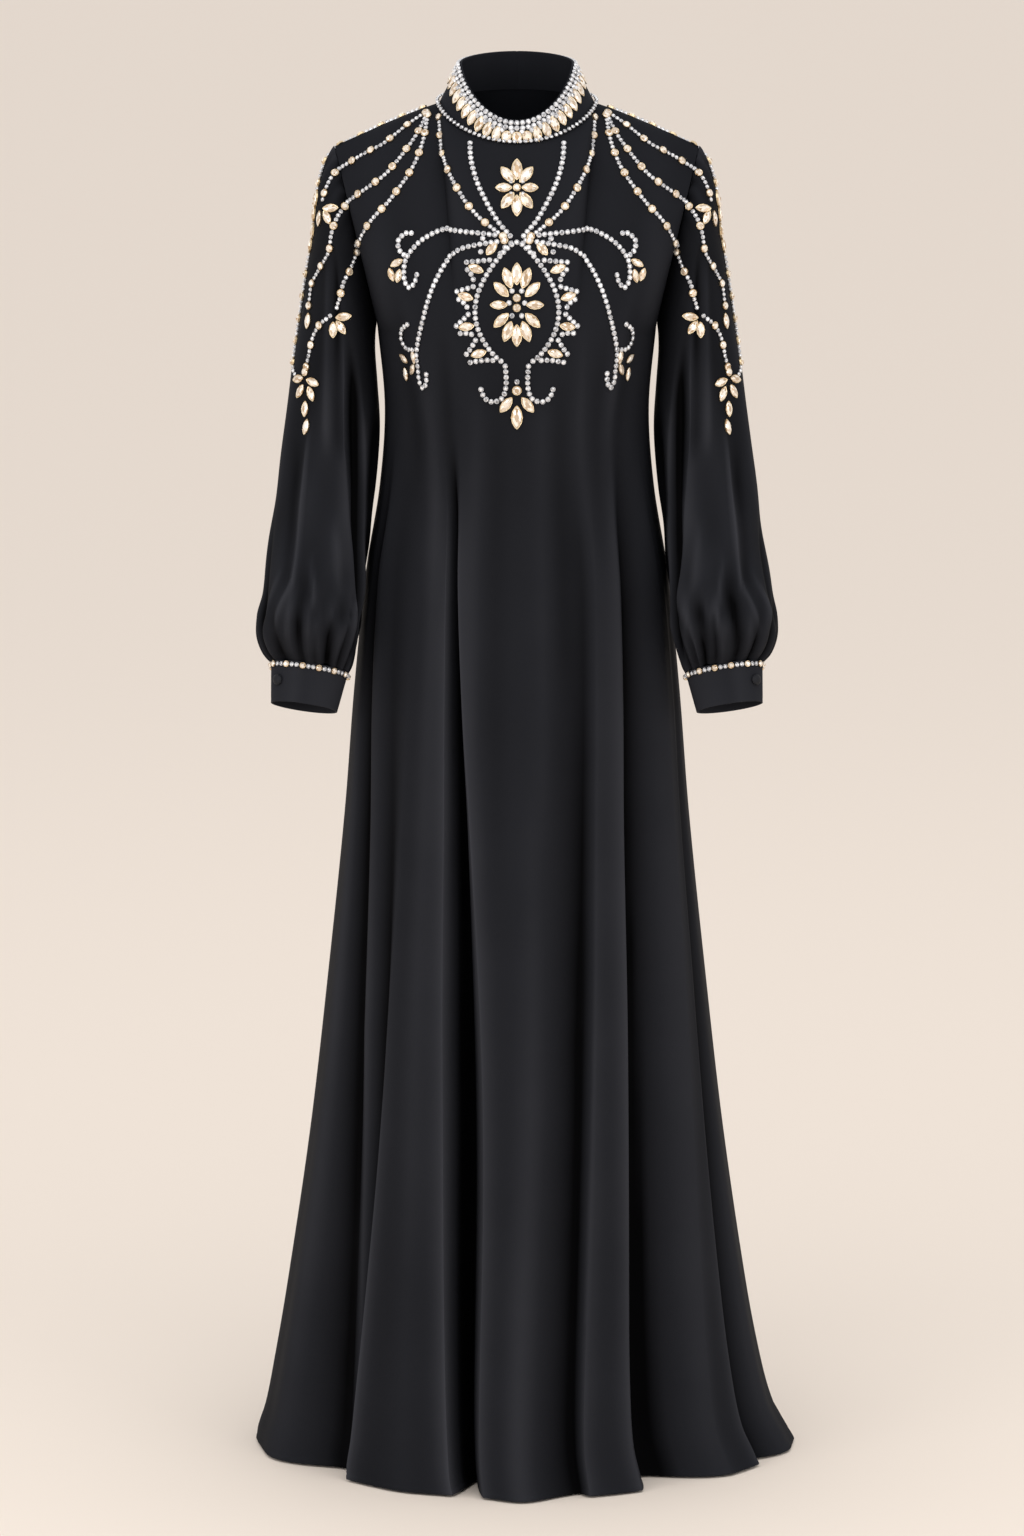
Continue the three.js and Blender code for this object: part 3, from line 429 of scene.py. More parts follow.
def cloth_wall(name, points, inward, thickness, closed=False, relief=0.0, full=7.0):
    """A closed wall of cloth: its outer face is the grid of points, in millimetres."""
    rows, columns = points.shape[:2]
    both = np.concatenate([points.reshape(-1, 3), (points + inward * thickness).reshape(-1, 3)])
    wide = columns + closed
    outer = np.arange(rows * wide).reshape(rows, wide)
    inner = outer + rows * wide
    faces = [
        quads(outer[:-1, :-1], outer[:-1, 1:], outer[1:, 1:], outer[1:, :-1]),
        quads(inner[:-1, :-1], inner[1:, :-1], inner[1:, 1:], inner[:-1, 1:]),
        quads(outer[0, :-1], inner[0, :-1], inner[0, 1:], outer[0, 1:]),
        quads(outer[-1, :-1], outer[-1, 1:], inner[-1, 1:], inner[-1, :-1]),
    ]
    if not closed:
        faces.append(quads(outer[:-1, 0], outer[1:, 0], inner[1:, 0], inner[:-1, 0]))
        faces.append(quads(outer[:-1, -1], inner[:-1, -1], inner[1:, -1], outer[1:, -1]))
    layer, spot = np.divmod(np.concatenate(faces), rows * wide)
    row, column = np.divmod(spot, wide)
    mesh = bpy.data.meshes.new(name)
    index = (layer * rows + row) * columns + column % columns
    mesh.from_pydata((both / 1000).tolist(), [], index.tolist())
    spots = lengths(points, closed)[row, column]
    mesh.uv_layers.new(name="cloth").data.foreach_set("uv", spots.reshape(-1))
    # Heights over the cloth beside it, kept as the fold attribute that paints shade and sheen into the
    # crepe's colour
    heights = fold_heights(points, inward, closed, relief, full).ravel()
    mesh.attributes.new("fold", "FLOAT", "POINT").data.foreach_set("value", np.tile(heights, 2))
    piece = added(name, mesh)
    piece.select_set(True)
    bpy.context.view_layer.objects.active = piece
    bpy.ops.object.shade_smooth_by_angle(angle=SMOOTH_UNDER)
    piece.select_set(False)
    return piece


def stand_for(piece, solid, slot, *materials):
    """Gives a piece its materials and puts it in the place of its solid."""
    for material in materials:
        piece.data.materials.append(material)
    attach(piece, "root")
    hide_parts(solid)


def crease_heights(creases, across, down, scale, ends):
    """How far creases stand out at places across and down the cloth."""
    height = 0
    for upper, top, lower, bottom, width, stand in creases:
        middle = mix(upper, lower, np.clip((down - top) / (bottom - top), 0, 1))
        height = height + (stand * swell((across - middle) * scale, width)
                           * smooth((down - top) / ends.upper + ends.beyond)
                           * smooth((bottom - down) / ends.lower + ends.beyond))
    return height


def body_panel(name, side, folds, creases):
    """A body panel, and the grid of its outer face."""
    q = stations(folds, folds[:, 7])
    rows = np.linspace(FIRST_ROW, LENGTH + UNDERARM, SKIRT_ROWS)
    z = np.concatenate([ROLLED_HEM[:, 0], rows]) - LENGTH
    t = np.linspace(0, 1, YOKE_ROWS + 1)[1:]
    points = np.concatenate([skirt(side, folds, q, z), yoke(side, folds, q, t)])
    points[..., 1] += side * SEAM / 2
    r = np.broadcast_to(between(folds, q)[:, 0], points.shape[:2]).copy()
    r[:len(z)] = along(FOLD_LEVELS, between(folds, q)[:, :4].T, z)
    relief = 0 * r
    relief[:len(z)] = fold_relief(folds, q, z)
    heights = points[..., 2].mean(axis=1)[:, None]
    half = along(LEVELS[:, 0], LEVELS[:, 1], np.minimum(heights, UNDERARM))
    if side > 0:
        points, r, relief = points[:, ::-1], r[:, ::-1], relief[:, ::-1]
    points = points - ways_in(points) * crease_heights(creases, r, heights, half, CREASE_ENDS)[..., None]
    waves = sum(weight * np.sin(points[..., 0] / across + points[..., 2] / down + phase)
                for weight, across, down, phase in SOFT_WAVES)
    stand = (WAVES.height * waves * smooth((1 - np.abs(r)) / WAVES.seam)
             * smooth((WAVES.chest - points[..., 2]) / WAVES.over))
    stand[:len(ROLLED_HEM)] += ROLLED_HEM[:, 1:]
    inward = ways_in(points)
    points = points - inward * stand[..., None]
    inward[:, [0, -1], 1] = 0
    part = (np.arange(len(points)) - len(z)) / YOKE_ROWS
    turn = smooth((part - EDGE_TURN.start) / EDGE_TURN.over)[:, None]
    for j in (0, -1):
        inward[:, j] = mix(unit(inward[:, j]), np.array([0, -side, EDGE_TURN.down]), turn)
    inward[-1, np.abs(points[-1, :, 0]) > NECK.half - 1] = (0, 0, -1)
    above = smooth((points[..., 2] - UNDERARM + FULL_RIDGE.blend) / (2 * FULL_RIDGE.blend))
    full = mix(FULL_RIDGE.skirt, FULL_RIDGE.yoke, above)
    return cloth_wall(name, points, unit(inward), CLOTH, relief=relief, full=full), points


# Crepe: highly twisted yarns shrink in finishing and leave a fine pebbled face, matt
# and black. Its colour carries painted shade, blacker in its hollows, and a painted sheen on
# its ridges, as the fold attribute says. The pebble is 0.5 mm on the real cloth, drawn at 1.1 mm so it
# shows.
crepe, tree = new_material("black_crepe")
spots = node(tree, "UVMap", uv_map="cloth")
pebble = node(tree, "TexNoise", [("Vector", spots)], Scale=900, Detail=2)
yarns = node(tree, "Mapping", [("Vector", spots)], Scale=(260, 1500, 1))
thread = node(tree, "TexNoise", [("Vector", yarns)], Scale=1, Detail=1)
grain = node(tree, "Math", [(0, pebble), (1, thread)], operation="ADD")
bump = node(tree, "Bump", [("Height", grain)], Strength=0.35, Distance=0.00025)
cloudy = node(tree, "TexNoise", [("Vector", spots)], Scale=7, Detail=3)
# The fold attribute paints shade in the hollows and sheen on the ridges; the cloudy noise adds the
# cloth's own uneven tone
fold = node(tree, "Attribute", attribute_name="fold")
uneven = node(tree, "Math", [(0, cloudy), (1, 0.3), (2, fold.outputs["Fac"])],
              operation="MULTIPLY_ADD")
level = node(tree, "MapRange", [("Value", uneven)], From_Min=-0.85, From_Max=1.15)
shade = node(tree, "ValToRGB", [("Fac", level)])
shade.color_ramp.elements[0].color = linear(CREPE_PAINTED_SHADE)
shade.color_ramp.elements[1].color = linear(CREPE_PAINTED_SHEEN)
shade.color_ramp.elements.new(0.5).color = linear(CREPE_COLOUR)
matt = node(tree, "MapRange", [("Value", cloudy)], To_Min=0.5, To_Max=0.62)
surface(tree, [("Base Color", shade), ("Roughness", matt), ("Normal", bump)],
        Specular_IOR_Level=0.01)

front_cloth, front_grid = body_panel("front_cloth", -1, FRONT_FOLDS, FRONT_CREASES)
stand_for(front_cloth, "front_panel", "crepe", crepe)

# ---- Back panel ----
# The back is one more flared piece of the crepe, with a concealed opening below the
# collar: two edges that meet at the middle and close with hooks on the inside.
BACK_FOLDS = np.array([
    (-1, -1, -1, -1, 0, 0, 0, 2, 0),
    (-0.93, -0.93, -0.92, -0.9, 1, 5, 14, 2, 0.3),
    (-0.8, -0.79, -0.76, -0.72, -4, -17, -30, 2, 0),
    (-0.68, -0.64, -0.6, -0.56, 2, 8, 12, 2, 0.5),
    (-0.5, -0.46, -0.4, -0.34, 0, 5, 9, 2, 0.4),
    (-NECK_PART, -0.36, -0.3, -0.25, -12, -34, -48, 2, 0),
    (-0.24, -0.23, -0.19, -0.15, 1, 5, 10, 3, 0.5),
    (0, 0.02, 0.03, 0.02, -2, -5, -8, 3, 0),
    (0.26, 0.25, 0.21, 0.18, 2, 7, 12, 2, 0.5),
    (NECK_PART, 0.38, 0.33, 0.3, -7, -25, -40, 2, 0),
    (0.55, 0.5, 0.45, 0.41, 1, 5, 10, 2, 0.5),
    (0.7, 0.68, 0.65, 0.62, 2, 7, 12, 2, 0.4),
    (0.83, 0.82, 0.8, 0.78, -3, -14, -26, 2, 0),
    (0.94, 0.94, 0.93, 0.92, 1, 4, 12, 2, 0.3),
    (1, 1, 1, 1, 0, 0, 0, 0, 0),
])
BACK_CREASES = [
    (-0.7, -120, -0.5, -330, 10, 1.6),
    (0.7, -120, 0.5, -330, 10, 1.6),
    (-0.34, -180, -0.33, -520, 9, -1.4),
    (0.34, -180, 0.34, -520, 9, -1.4),
    (-0.12, -260, -0.1, -620, 11, 1.2),
    (0.14, -240, 0.12, -600, 11, 1.2),
]

back_cloth, back_grid = body_panel("back_cloth", 1, BACK_FOLDS, BACK_CREASES)
stand_for(back_cloth, "back_panel", "crepe", crepe)

# ---- Sleeves ----
# Each bishop sleeve is one piece set into the armhole with a little ease at the cap,
# long and full, and gathered at its lower edge into the cuff, above which it puffs out.
# part of the way down, outermost x and z, innermost x and z, middle y, half depth, pitch
SLEEVE = np.array([
    (0, 187.3, -45, 144.4, -231, 0, 50, 0),
    (0.05, 196, -56, 146.5, -243, 0, 56, 0),
    (0.12, 205, -88, 146, -262, 0, 61, 0),
    (0.22, 211, -140, 144, -290, 0, 63, 0),
    (0.34, 221, -200, 141.5, -325, -2, 63, 0),
    (0.45, 231.5, -266, 141, -358, -6, 62, 2),
    (0.56, 240.5, -335, 143.5, -400, -14, 60, 6),
    (0.67, 248.5, -402, 148, -440, -28, 60, 10),
    (0.77, 256, -458, 152.5, -480, -42, 61, 14),
    (0.85, 262.5, -500, 156.5, -512, -54, 62, 17),
    (0.9, 267.5, -527, 160, -537, -61, 62, 18),
    (0.94, 267, -546, 164, -556, -66, 58, 19),
    (0.975, 261.5, -561, 169, -572, -71, 46, 20),
    (1, 253.5, -571, 174, -582.5, -74, 33, 20),
])
# Long folds: angle from the outer side towards the front at cap, elbow and puff; how
# far out at elbow and puff; mesh strips; how crisp
SLEEVE_FOLD_LEVELS = (0.15, 0.6, 0.92)
SLEEVE_FOLDS = np.array([
    (0, 0, 0, 0, 0, 3, 0),
    (52, 60, 66, 2, 3, 2, 0.3),
    (84, 112, 148, 4, 4, 1, 0.9),
    (97, 128, 160, -12, -10, 1, 0.2),
    (112, 143, 172, -1, 0, 1, 0.5),
    (150, 164, 184, -7, -5, 2, 0),
    (215, 215, 220, 2, 3, 2, 0),
    (250, 255, 256, -8, -7, 2, 0),
    (295, 300, 302, 3, 4, 3, 0.3),
    (360, 360, 360, 0, 0, 0, 0),
])
# Mesh rows: part of the way down from and to, and how many lines
SLEEVE_ROWS = [(0, 0.16, 26), (0.16, 0.86, 70), (0.86, 1, 36)]
GATHERS = Sizes(count=17, depth=2.9, start=0.865, puff=2.2, puff_at=0.895, puff_half=0.03)
# Creases of the sleeve: angle and part of the way down at the upper end and at the
# lower one, half width, and height of the ridge (+) or groove (-)
SLEEVE_CREASES = [
    (62, 0.54, 68, 0.85, 3.6, 3.0),
    (68, 0.83, 52, 0.94, 4, 2.8),
    (50, 0.6, 56, 0.84, 8, -2.4),
    (50, 0.82, 37, 0.91, 4, 2.2),
    (80, 0.85, 79, 0.96, 7, -3.6),
    (84, 0.79, 97, 0.9, 4, 2.6),
    (100, 0.88, 97, 1.0, 4, 2.4),
    (112, 0.9, 117, 1.02, 5, -2.6),
    (128, 0.84, 132, 0.95, 13, 2.6),
    (104, 0.7, 118, 0.85, 6, 1.6),
    (28, 0.3, 24, 0.7, 10, 1.6),
    (18, 0.74, 30, 0.93, 5, -2.2),
    (72, 0.16, 100, 0.52, 8, -3.2),
    (58, 0.2, 84, 0.54, 7, 1.8),
    (236, 0.3, 230, 0.8, 9, 1.6),
    (275, 0.4, 280, 0.9, 8, -1.8),
    (310, 0.5, 300, 0.92, 7, 2.2),
]
SLEEVE_CREASE_ENDS = Sizes(upper=0.1, lower=0.08, beyond=0.5)
CAP_EASE = Sizes(count=22, depth=0.8, reach=0.16)
# Soft waves: height, turns round, turns down, phase by hand, and where each comes and goes
SLEEVE_WAVES = [(0.7, 7, 9, 0, 0.2, 0.2, 0.9, 0.1), (1.1, 3, -30, 1, 0.55, 0.2, 0.95, 0.08)]
# How the sleeve's folds count in the painted shade and sheen: scale of their relief, and the height of a
# full ridge
SLEEVE_RIDGE = Sizes(relief=2.6, full=4.2)
HANDS = ((-1, "right"), (1, "left"))


def sleeve_section(hand, t):
    """Middle of the sleeve at parts of the way down, and its ways out and forward."""
    t = np.asarray(t, float)
    out_x, out_z, in_x, in_z, y, depth, pitch = along(SLEEVE[:, 0], SLEEVE[:, 1:], t).T
    out, inner = together(hand * out_x, y, out_z), together(hand * in_x, y, in_z)
    tip = np.radians(pitch)
    forward = together(0, -np.cos(tip), np.sin(tip)) * depth[..., None]
    return (out + inner) / 2, (out - inner) / 2, forward


def armhole(hand, angle):
    """Points of the armhole, by angle from the shoulder over the front to the underarm."""
    turn = (angle + 2 * math.pi) % (2 * math.pi)
    t = np.abs(1 - turn / math.pi)
    made = np.zeros(turn.shape + (3,))
    for side, folds in ((-1, FRONT_FOLDS), (1, BACK_FOLDS)):
        here = turn <= math.pi if side < 0 else turn > math.pi
        q = np.array([0.0 if hand < 0 else len(folds) - 1.0])
        made[here] = yoke(side, folds, q, t[here])[:, 0]
    return made + np.array([hand * SEAM * 2, 0, -SEAM * 0.4])


def sleeve(name, hand):
    """A sleeve, and the grid of its outer face."""
    q = stations(SLEEVE_FOLDS, SLEEVE_FOLDS[:, 5] * 2)[:-1]
    t = np.concatenate([[0], *(np.linspace(*part)[1:] for part in SLEEVE_ROWS)])
    middle, across, forward = [a[:, None] for a in sleeve_section(hand, t)]
    angle = np.radians(along(SLEEVE_FOLD_LEVELS, between(SLEEVE_FOLDS, q)[:, :3].T, t))
    heights = mix(SLEEVE_FOLDS[:, 3], SLEEVE_FOLDS[:, 4], smooth((t - 0.6) / 0.3)[:, None])
    heights = heights * fade(t, 0.2, 0.3, 1, 0.1)[:, None]
    relief = blended(heights, SLEEVE_FOLDS[:, 6], q)
    wide, deep = [np.linalg.norm(a, axis=-1) for a in (across, forward)]
    spread = (middle + across * (np.cos(angle) * (1 + relief / wide))[..., None]
              + forward * (np.sin(angle) * (1 + relief / deep))[..., None])
    points = mix(armhole(hand, angle), spread, smooth(t / 0.12)[:, None, None])
    t = t[:, None]
    # sines of many lengths keep the gathers uneven
    reach = GATHERS.start + 0.05 * np.sin(5 * angle + 1.1 * hand) * np.sin(11 * angle)
    uneven = 0.9 * np.sin(3 * angle) + 0.5 * np.sin(5 * angle + hand)
    pleat = 1.7 * np.abs(np.cos(GATHERS.count / 2 * angle + uneven)) ** 0.8 - 1
    stand = GATHERS.depth * pleat * fade(t, reach, 0.09, 1.03, 0.05)
    puff = swell(t - GATHERS.puff_at, GATHERS.puff_half)
    stand += GATHERS.puff * puff * np.sin(8 * angle + 2 * np.sin(3 * angle) + hand)
    stand += crease_heights(SLEEVE_CREASES, np.degrees(angle), t, np.radians(np.sqrt(wide * deep)),
                            SLEEVE_CREASE_ENDS)
    cap = smooth((np.cos(angle) - 0.1) / 0.5) * fade(t, 0, 0.015, CAP_EASE.reach, CAP_EASE.reach)
    stand += CAP_EASE.depth * cap * np.cos(CAP_EASE.count * angle + 1.5 * np.sin(2 * angle))
    for height, round_, down, phase, *ends in SLEEVE_WAVES:
        stand += height * np.sin(round_ * angle + down * t + phase * hand) * fade(t, *ends)
    turned = slice(None, None, -hand)
    points, stand, relief = [a[::-1, turned] for a in (points, stand, relief)]
    points = points - ways_in(points, True) * stand[..., None]
    inward = ways_in(points, True)
    centre = np.array([hand * (SHOULDER.half - ARMHOLE.centre_in), 0,
                       (UNDERARM - SHOULDER.drop) / 2])
    inward[-1] = unit((centre - points[-1]) * (0, 1, 1))
    return cloth_wall(name, points, inward, CLOTH, closed=True, relief=relief * SLEEVE_RIDGE.relief,
                      full=SLEEVE_RIDGE.full), points


sleeve_cloth, sleeve_grid = {}, {}
for hand, side in HANDS:
    sleeve_cloth[hand], sleeve_grid[hand] = sleeve(f"sleeve_cloth_{side}", hand)
    stand_for(sleeve_cloth[hand], f"sleeve_{side}", "crepe", crepe)

# ---- Cuffs and their buttons ----
# Each cuff is a stiffened band of doubled crepe round the gathered end of the sleeve.
# Its end laps over its beginning at the outer side, under one cloth-covered button.
CUFF = Sizes(slant=42, taper=0.86, wall=1.7, lap_from=22, lap=48, lap_rise=2.16)
CUFF_MESH = (22, 190)
# Stitched grooves: how far from the lower edge and from the upper, half width and depth
CUFF_GROOVES = Sizes(lower=3, upper=2.5, half=0.9, depth=0.25)
BUTTON = Sizes(radius=5.7, height=4.6, angle=43, up=0.52)
# Parts of the button's radius and of its height, from the middle of its back to its top
BUTTON_PROFILE = [(0, 0), (0.8, 0), (0.97, 0.16), (1, 0.32), (0.95, 0.5), (0.86, 0.68), (0.68, 0.84),
                  (0.4, 0.95), (0, 1)]
BUTTON_COLOUR = "#1f2024"


def band_mesh(rows, columns, first, last):
    """Parts of the way up a band, and places along it."""
    return np.meshgrid(np.linspace(0, 1, rows), np.linspace(first, last, columns), indexing="ij")


def cuff_point(hand, degrees, up):
    """Points of the cuff: angle from its outer side to the front, part of the way up."""
    middle, across, forward = [a[0] for a in sleeve_section(hand, [1.0])]
    axis = hand * unit(np.cross(across, forward))
    over = smooth((degrees - (360 - CUFF.lap_from - CUFF.lap * 1.5)) / (CUFF.lap * 0.5))
    angle, scale = np.radians(-degrees), mix(CUFF.taper, 1, up)
    spread = across * (np.cos(angle) * scale)[..., None] + forward * (np.sin(angle) * scale)[..., None]
    far = np.linalg.norm(spread, axis=-1, keepdims=True)
    spread = spread * (far + over[..., None] * CUFF.lap_rise) / far
    return middle + spread + axis * ((1 - up) * CUFF.slant + SEAM * 2)[..., None]


def cuff(name, hand):
    """A cuff, with a groove beside each of its long edges."""
    up, degrees = band_mesh(*CUFF_MESH, -CUFF.lap_from - CUFF.lap, 360 - CUFF.lap_from)
    rows = up * CUFF.slant
    groove = sum(swell(rows - middle, CUFF_GROOVES.half)
                 for middle in (CUFF_GROOVES.lower, CUFF.slant - CUFF_GROOVES.upper))
    points, groove = [a[:, ::hand] for a in (cuff_point(hand, degrees, up), groove)]
    inward = ways_in(points)
    points = points + inward * (CUFF_GROOVES.depth * groove)[..., None]
    return cloth_wall(name, points, inward, CUFF.wall)


def covered_button(name, hand):
    """A domed button covered in cloth, turned on a low rim."""
    angle, up = 360 - BUTTON.angle, BUTTON.up
    seat, beside, above = [cuff_point(hand, np.array(float(degrees)), np.array(part)) for degrees, part in
                           ((angle, up), (angle + 4, up), (angle, up + 0.1))]
    out = unit(np.cross(beside - seat, above - seat))
    out *= -math.copysign(1, out[1])
    bpy.ops.mesh.primitive_uv_sphere_add(segments=40, ring_count=20, radius=1)
    piece = bpy.context.object
    piece.name = name
    part = np.linspace(0, 1, len(BUTTON_PROFILE))
    wide, tall = zip(*BUTTON_PROFILE)
    turn = Vector(out).to_track_quat("Z", "Y").to_matrix()
    place = Vector(seat + out * SEAM * 1.5)
    for v in piece.data.vertices:
        level = math.acos(max(-1, min(1, -v.co.z))) / math.pi
        r = BUTTON.radius * float(np.interp(level, part, wide)) / (math.hypot(v.co.x, v.co.y) or 1)
        spot = Vector((v.co.x * r, v.co.y * r, BUTTON.height * float(np.interp(level, part, tall))))
        v.co = (turn @ spot + place) / 1000
    bpy.ops.object.shade_smooth()
    piece.select_set(False)
    return piece


# The button's cover is the same crepe cut on the bias and pulled over a metal dome, so
# it is smoother and gleams more than the cuff.
cover, tree = new_material("crepe_button_cover")
spots = node(tree, "TexCoord").outputs["Object"]
grain = node(tree, "TexNoise", [("Vector", spots)], Scale=1100, Detail=2)
bump = node(tree, "Bump", [("Height", grain)], Strength=0.25, Distance=0.0002)
surface(tree, [("Normal", bump)], Base_Color=linear(BUTTON_COLOUR), Roughness=0.5,
        Specular_IOR_Level=0.12)

cuff_cloth = {}
for hand, side in HANDS:
    cuff_cloth[hand] = cuff(f"cuff_cloth_{side}", hand)
    stand_for(cuff_cloth[hand], f"cuff_{side}", "crepe", crepe)
    stand_for(covered_button(f"covered_button_{side}", hand), f"button_{side}", "button_cloth", cover)

# ---- Collar ----
# The stand collar is a stiffened band of doubled crepe on the neck seam, low in front
# and high at the sides and back, with a fine rolled edge; its ends meet at the back.
COLLAR = Sizes(top_half=58, top_front=57, top_back=46, side=43, front_top=-9,
               back_top=47, wall=1.7)
COLLAR_MESH = (20, 321)
EDGE_GROOVE = Sizes(at=0.93, half=0.02, depth=0.3)
END_GROOVE = Sizes(half=0.015, depth=0.6)


def collar_point(angle, up):
    """Points of the collar: angle from centre front, part of the way up."""
    base = neck_point(angle, SEAM) + np.array([0, 0, SEAM])
    c = np.cos(angle)
    depth = np.where(c > 0, COLLAR.top_front, COLLAR.top_back)
    end = np.where(c > 0, COLLAR.front_top, COLLAR.back_top)
    top = together(COLLAR.top_half * np.sin(angle), -depth * c,
                   mix(COLLAR.side, end, np.abs(c) ** NECK.curve))
    return mix(base, top, up[..., None])


up, angle = band_mesh(*COLLAR_MESH, -math.pi, math.pi)
collar_grid = collar_point(angle, up)
inward = ways_in(collar_grid)
inward[:, [0, -1], 0] = 0
inward = unit(inward)
groove = (EDGE_GROOVE.depth * swell(up - EDGE_GROOVE.at, EDGE_GROOVE.half)
          + END_GROOVE.depth * swell(math.pi - np.abs(angle), END_GROOVE.half))
collar_grid = collar_grid + inward * groove[..., None]
collar_cloth = cloth_wall("collar_cloth", collar_grid, inward, COLLAR.wall)
stand_for(collar_cloth, "collar", "crepe", crepe)

# ---- Stones of the collar and the neck seam ----
# Cut glass stones with foil backs, each in a small metal cup sewn through the cloth:
# two rows of clear rounds under the collar's edge, a fringe of pointed champagne stones
# below them with three ovals at centre front, and a row of rounds on the neck seam.
# across, tall and long are a stone's width, height and length, mm; gold is its setting
Stone = namedtuple("Stone", "across tall long gold")
SMALL = Stone(4.7, 2.6, 4.7, False)
CLEAR = Stone(5.6, 2.9, 5.6, False)
LARGE = Stone(8.4, 3.9, 8.4, True)
FRINGE = Stone(9.8, 3.2, 17.2, True)
FRINGE_OVAL = Stone(10.4, 3.4, 12.0, True)
OVALS_REACH = 0.22
STAND_OFF = 0.35
# Seed of the painted glints and painted shade on the stones' facets
GLINT_SEED = 7
# distance below the collar's edge, pitch, part of a pitch to the first, and if a fringe
COLLAR_ROWS = [(3.5, 5.9, 0.5, False), (8.9, 5.9, 0.5, False), (12.9, 10.5, 0, False),
               (18.3, 10.5, 0.5, True)]
COLLAR_END = 0.035
NECK_ROW = Sizes(pitch=5.4, end=0.05, up=0.8, out=1.1, lean=1.2)


def cut_stone(name, sides, point, table):
    """One stone in its cup, one unit in radius and in height, flat side down."""
    bpy.ops.mesh.primitive_cylinder_add(vertices=sides, radius=1, depth=0.5, location=(0, 0, 0.25))
    stone = bpy.context.object
    stone.name = name
    bpy.ops.object.transform_apply(location=True, rotation=False, scale=False)
    bpy.ops.object.mode_set(mode="EDIT")
    bpy.ops.mesh.select_all(action="DESELECT")
    bpy.ops.object.mode_set(mode="OBJECT")
    for face in stone.data.polygons:
        face.select = face.normal.z > 0.9
    bpy.ops.object.mode_set(mode="EDIT")
    bpy.ops.mesh.inset(thickness=0.1, depth=-0.05)
    bpy.ops.mesh.extrude_region_move(TRANSFORM_OT_translate={"value": (0, 0, 0.3)})
    bpy.ops.transform.resize(value=(0.86, 0.86, 1))
    bpy.ops.mesh.extrude_region_move(TRANSFORM_OT_translate={"value": (0, 0, 0.25)})
    bpy.ops.transform.resize(value=(table, table, 1))
    bpy.ops.object.mode_set(mode="OBJECT")
    for v in stone.data.vertices:
        r = math.hypot(v.co.x, v.co.y)
        if r > 0.01:
            v.co.y = math.copysign(r * abs(v.co.y / r) ** point, v.co.y)
    corners = np.array([v.co[:] for v in stone.data.vertices])
    # Blender adds the new faces in no fixed order, so they are sorted: their painted glints depend on it
    faces = [list(f.vertices) for f in stone.data.polygons]
    faces = sorted(f[f.index(min(f)):] + f[:f.index(min(f))] for f in faces)
    glass = [max(corners[i][2] for i in f) > 0.6 for f in faces]
    bpy.data.objects.remove(stone)
    return corners, faces, glass


ROUND_CUT = cut_stone("round_cut", 10, 1.0, 0.6)
OVAL_CUT = cut_stone("oval_cut", 12, 1.0, 0.55)
POINTED_CUT = cut_stone("pointed_cut", 12, 1.6, 0.5)


def cloth_face(grid, closed=False):
    """A cloth's outer face as something to cast lines at, in millimetres."""
    spots = np.arange(grid[..., 0].size).reshape(grid.shape[:2])
    if closed:
        spots = np.concatenate([spots, spots[:, :1]], axis=1)
    faces = quads(spots[:-1, :-1], spots[:-1, 1:], spots[1:, 1:], spots[1:, :-1])
    return BVHTree.FromPolygons(grid.reshape(-1, 3).tolist(), faces.tolist())


def stones_piece(name, stones, solid):
    """Stones as one mesh; each is (cut, kind, place, way out, way along)."""
    rng = np.random.default_rng(GLINT_SEED)
    corners, faces, slots, facet_glints, base = [], [], [], [], 0
    for (shape, shape_faces, glass), kind, place, out, ahead in stones:
        out = unit(np.array(out))
        ahead = unit(np.array(ahead) - out * np.dot(ahead, out))
        side = np.cross(out, ahead)
        corners.append((shape[:, :1] * ahead * kind.long / 2 + shape[:, 1:2] * side * kind.across / 2
                        + shape[:, 2:] * out * kind.tall + np.array(place) + out * STAND_OFF) / 1000)
        faces += [[base + i for i in f] for f in shape_faces]
        slots += [(1 if g else 0) + (2 if kind.gold else 0) for g in glass]
        # each facet gets its own painted glint or painted shade, at random
        facet_glints += rng.uniform(size=len(shape_faces)).tolist()
        base += len(shape)
    mesh = bpy.data.meshes.new(name)
    mesh.from_pydata(np.concatenate(corners).tolist(), [], faces)
    mesh.polygons.foreach_set("material_index", slots)
    mesh.attributes.new("tone", "FLOAT", "FACE").data.foreach_set("value", facet_glints)
    stand_for(added(name, mesh), solid, "stones", silver_cup, clear_glass, gold_cup, champagne_glass)


# Foil-backed cut glass: the foil throws light back through the flat facets; here each facet's colour
# is painted bright or dark by itself, as the tone attribute of its face says: painted glints and painted
# shade.
def cut_glass(name, pale, deep, roughness):
    glass, tree = new_material(name)
    tone = node(tree, "Attribute", attribute_name="tone")
    flash = node(tree, "Math", [(0, tone.outputs["Fac"]), (1, 1.7)], operation="POWER")
    colour = node(tree, "Mix", [("Factor", flash), (6, linear(pale)), (7, linear(deep))],
                  data_type="RGBA")
    surface(tree, [("Base Color", colour.outputs[2])], Roughness=roughness, Metallic=0.35, IOR=1.56,
            Coat_Weight=0.7, Coat_Roughness=0.03)
    return glass


# Each glass runs from a painted glint to a painted facet shade; the champagne one keeps its own tint in
# both
clear_glass = cut_glass("clear_foiled_glass", "#fbfbfc", "#6f7076", 0.12)
champagne_glass = cut_glass("champagne_foiled_glass", "#fff8ec", "#b08c5e", 0.14)


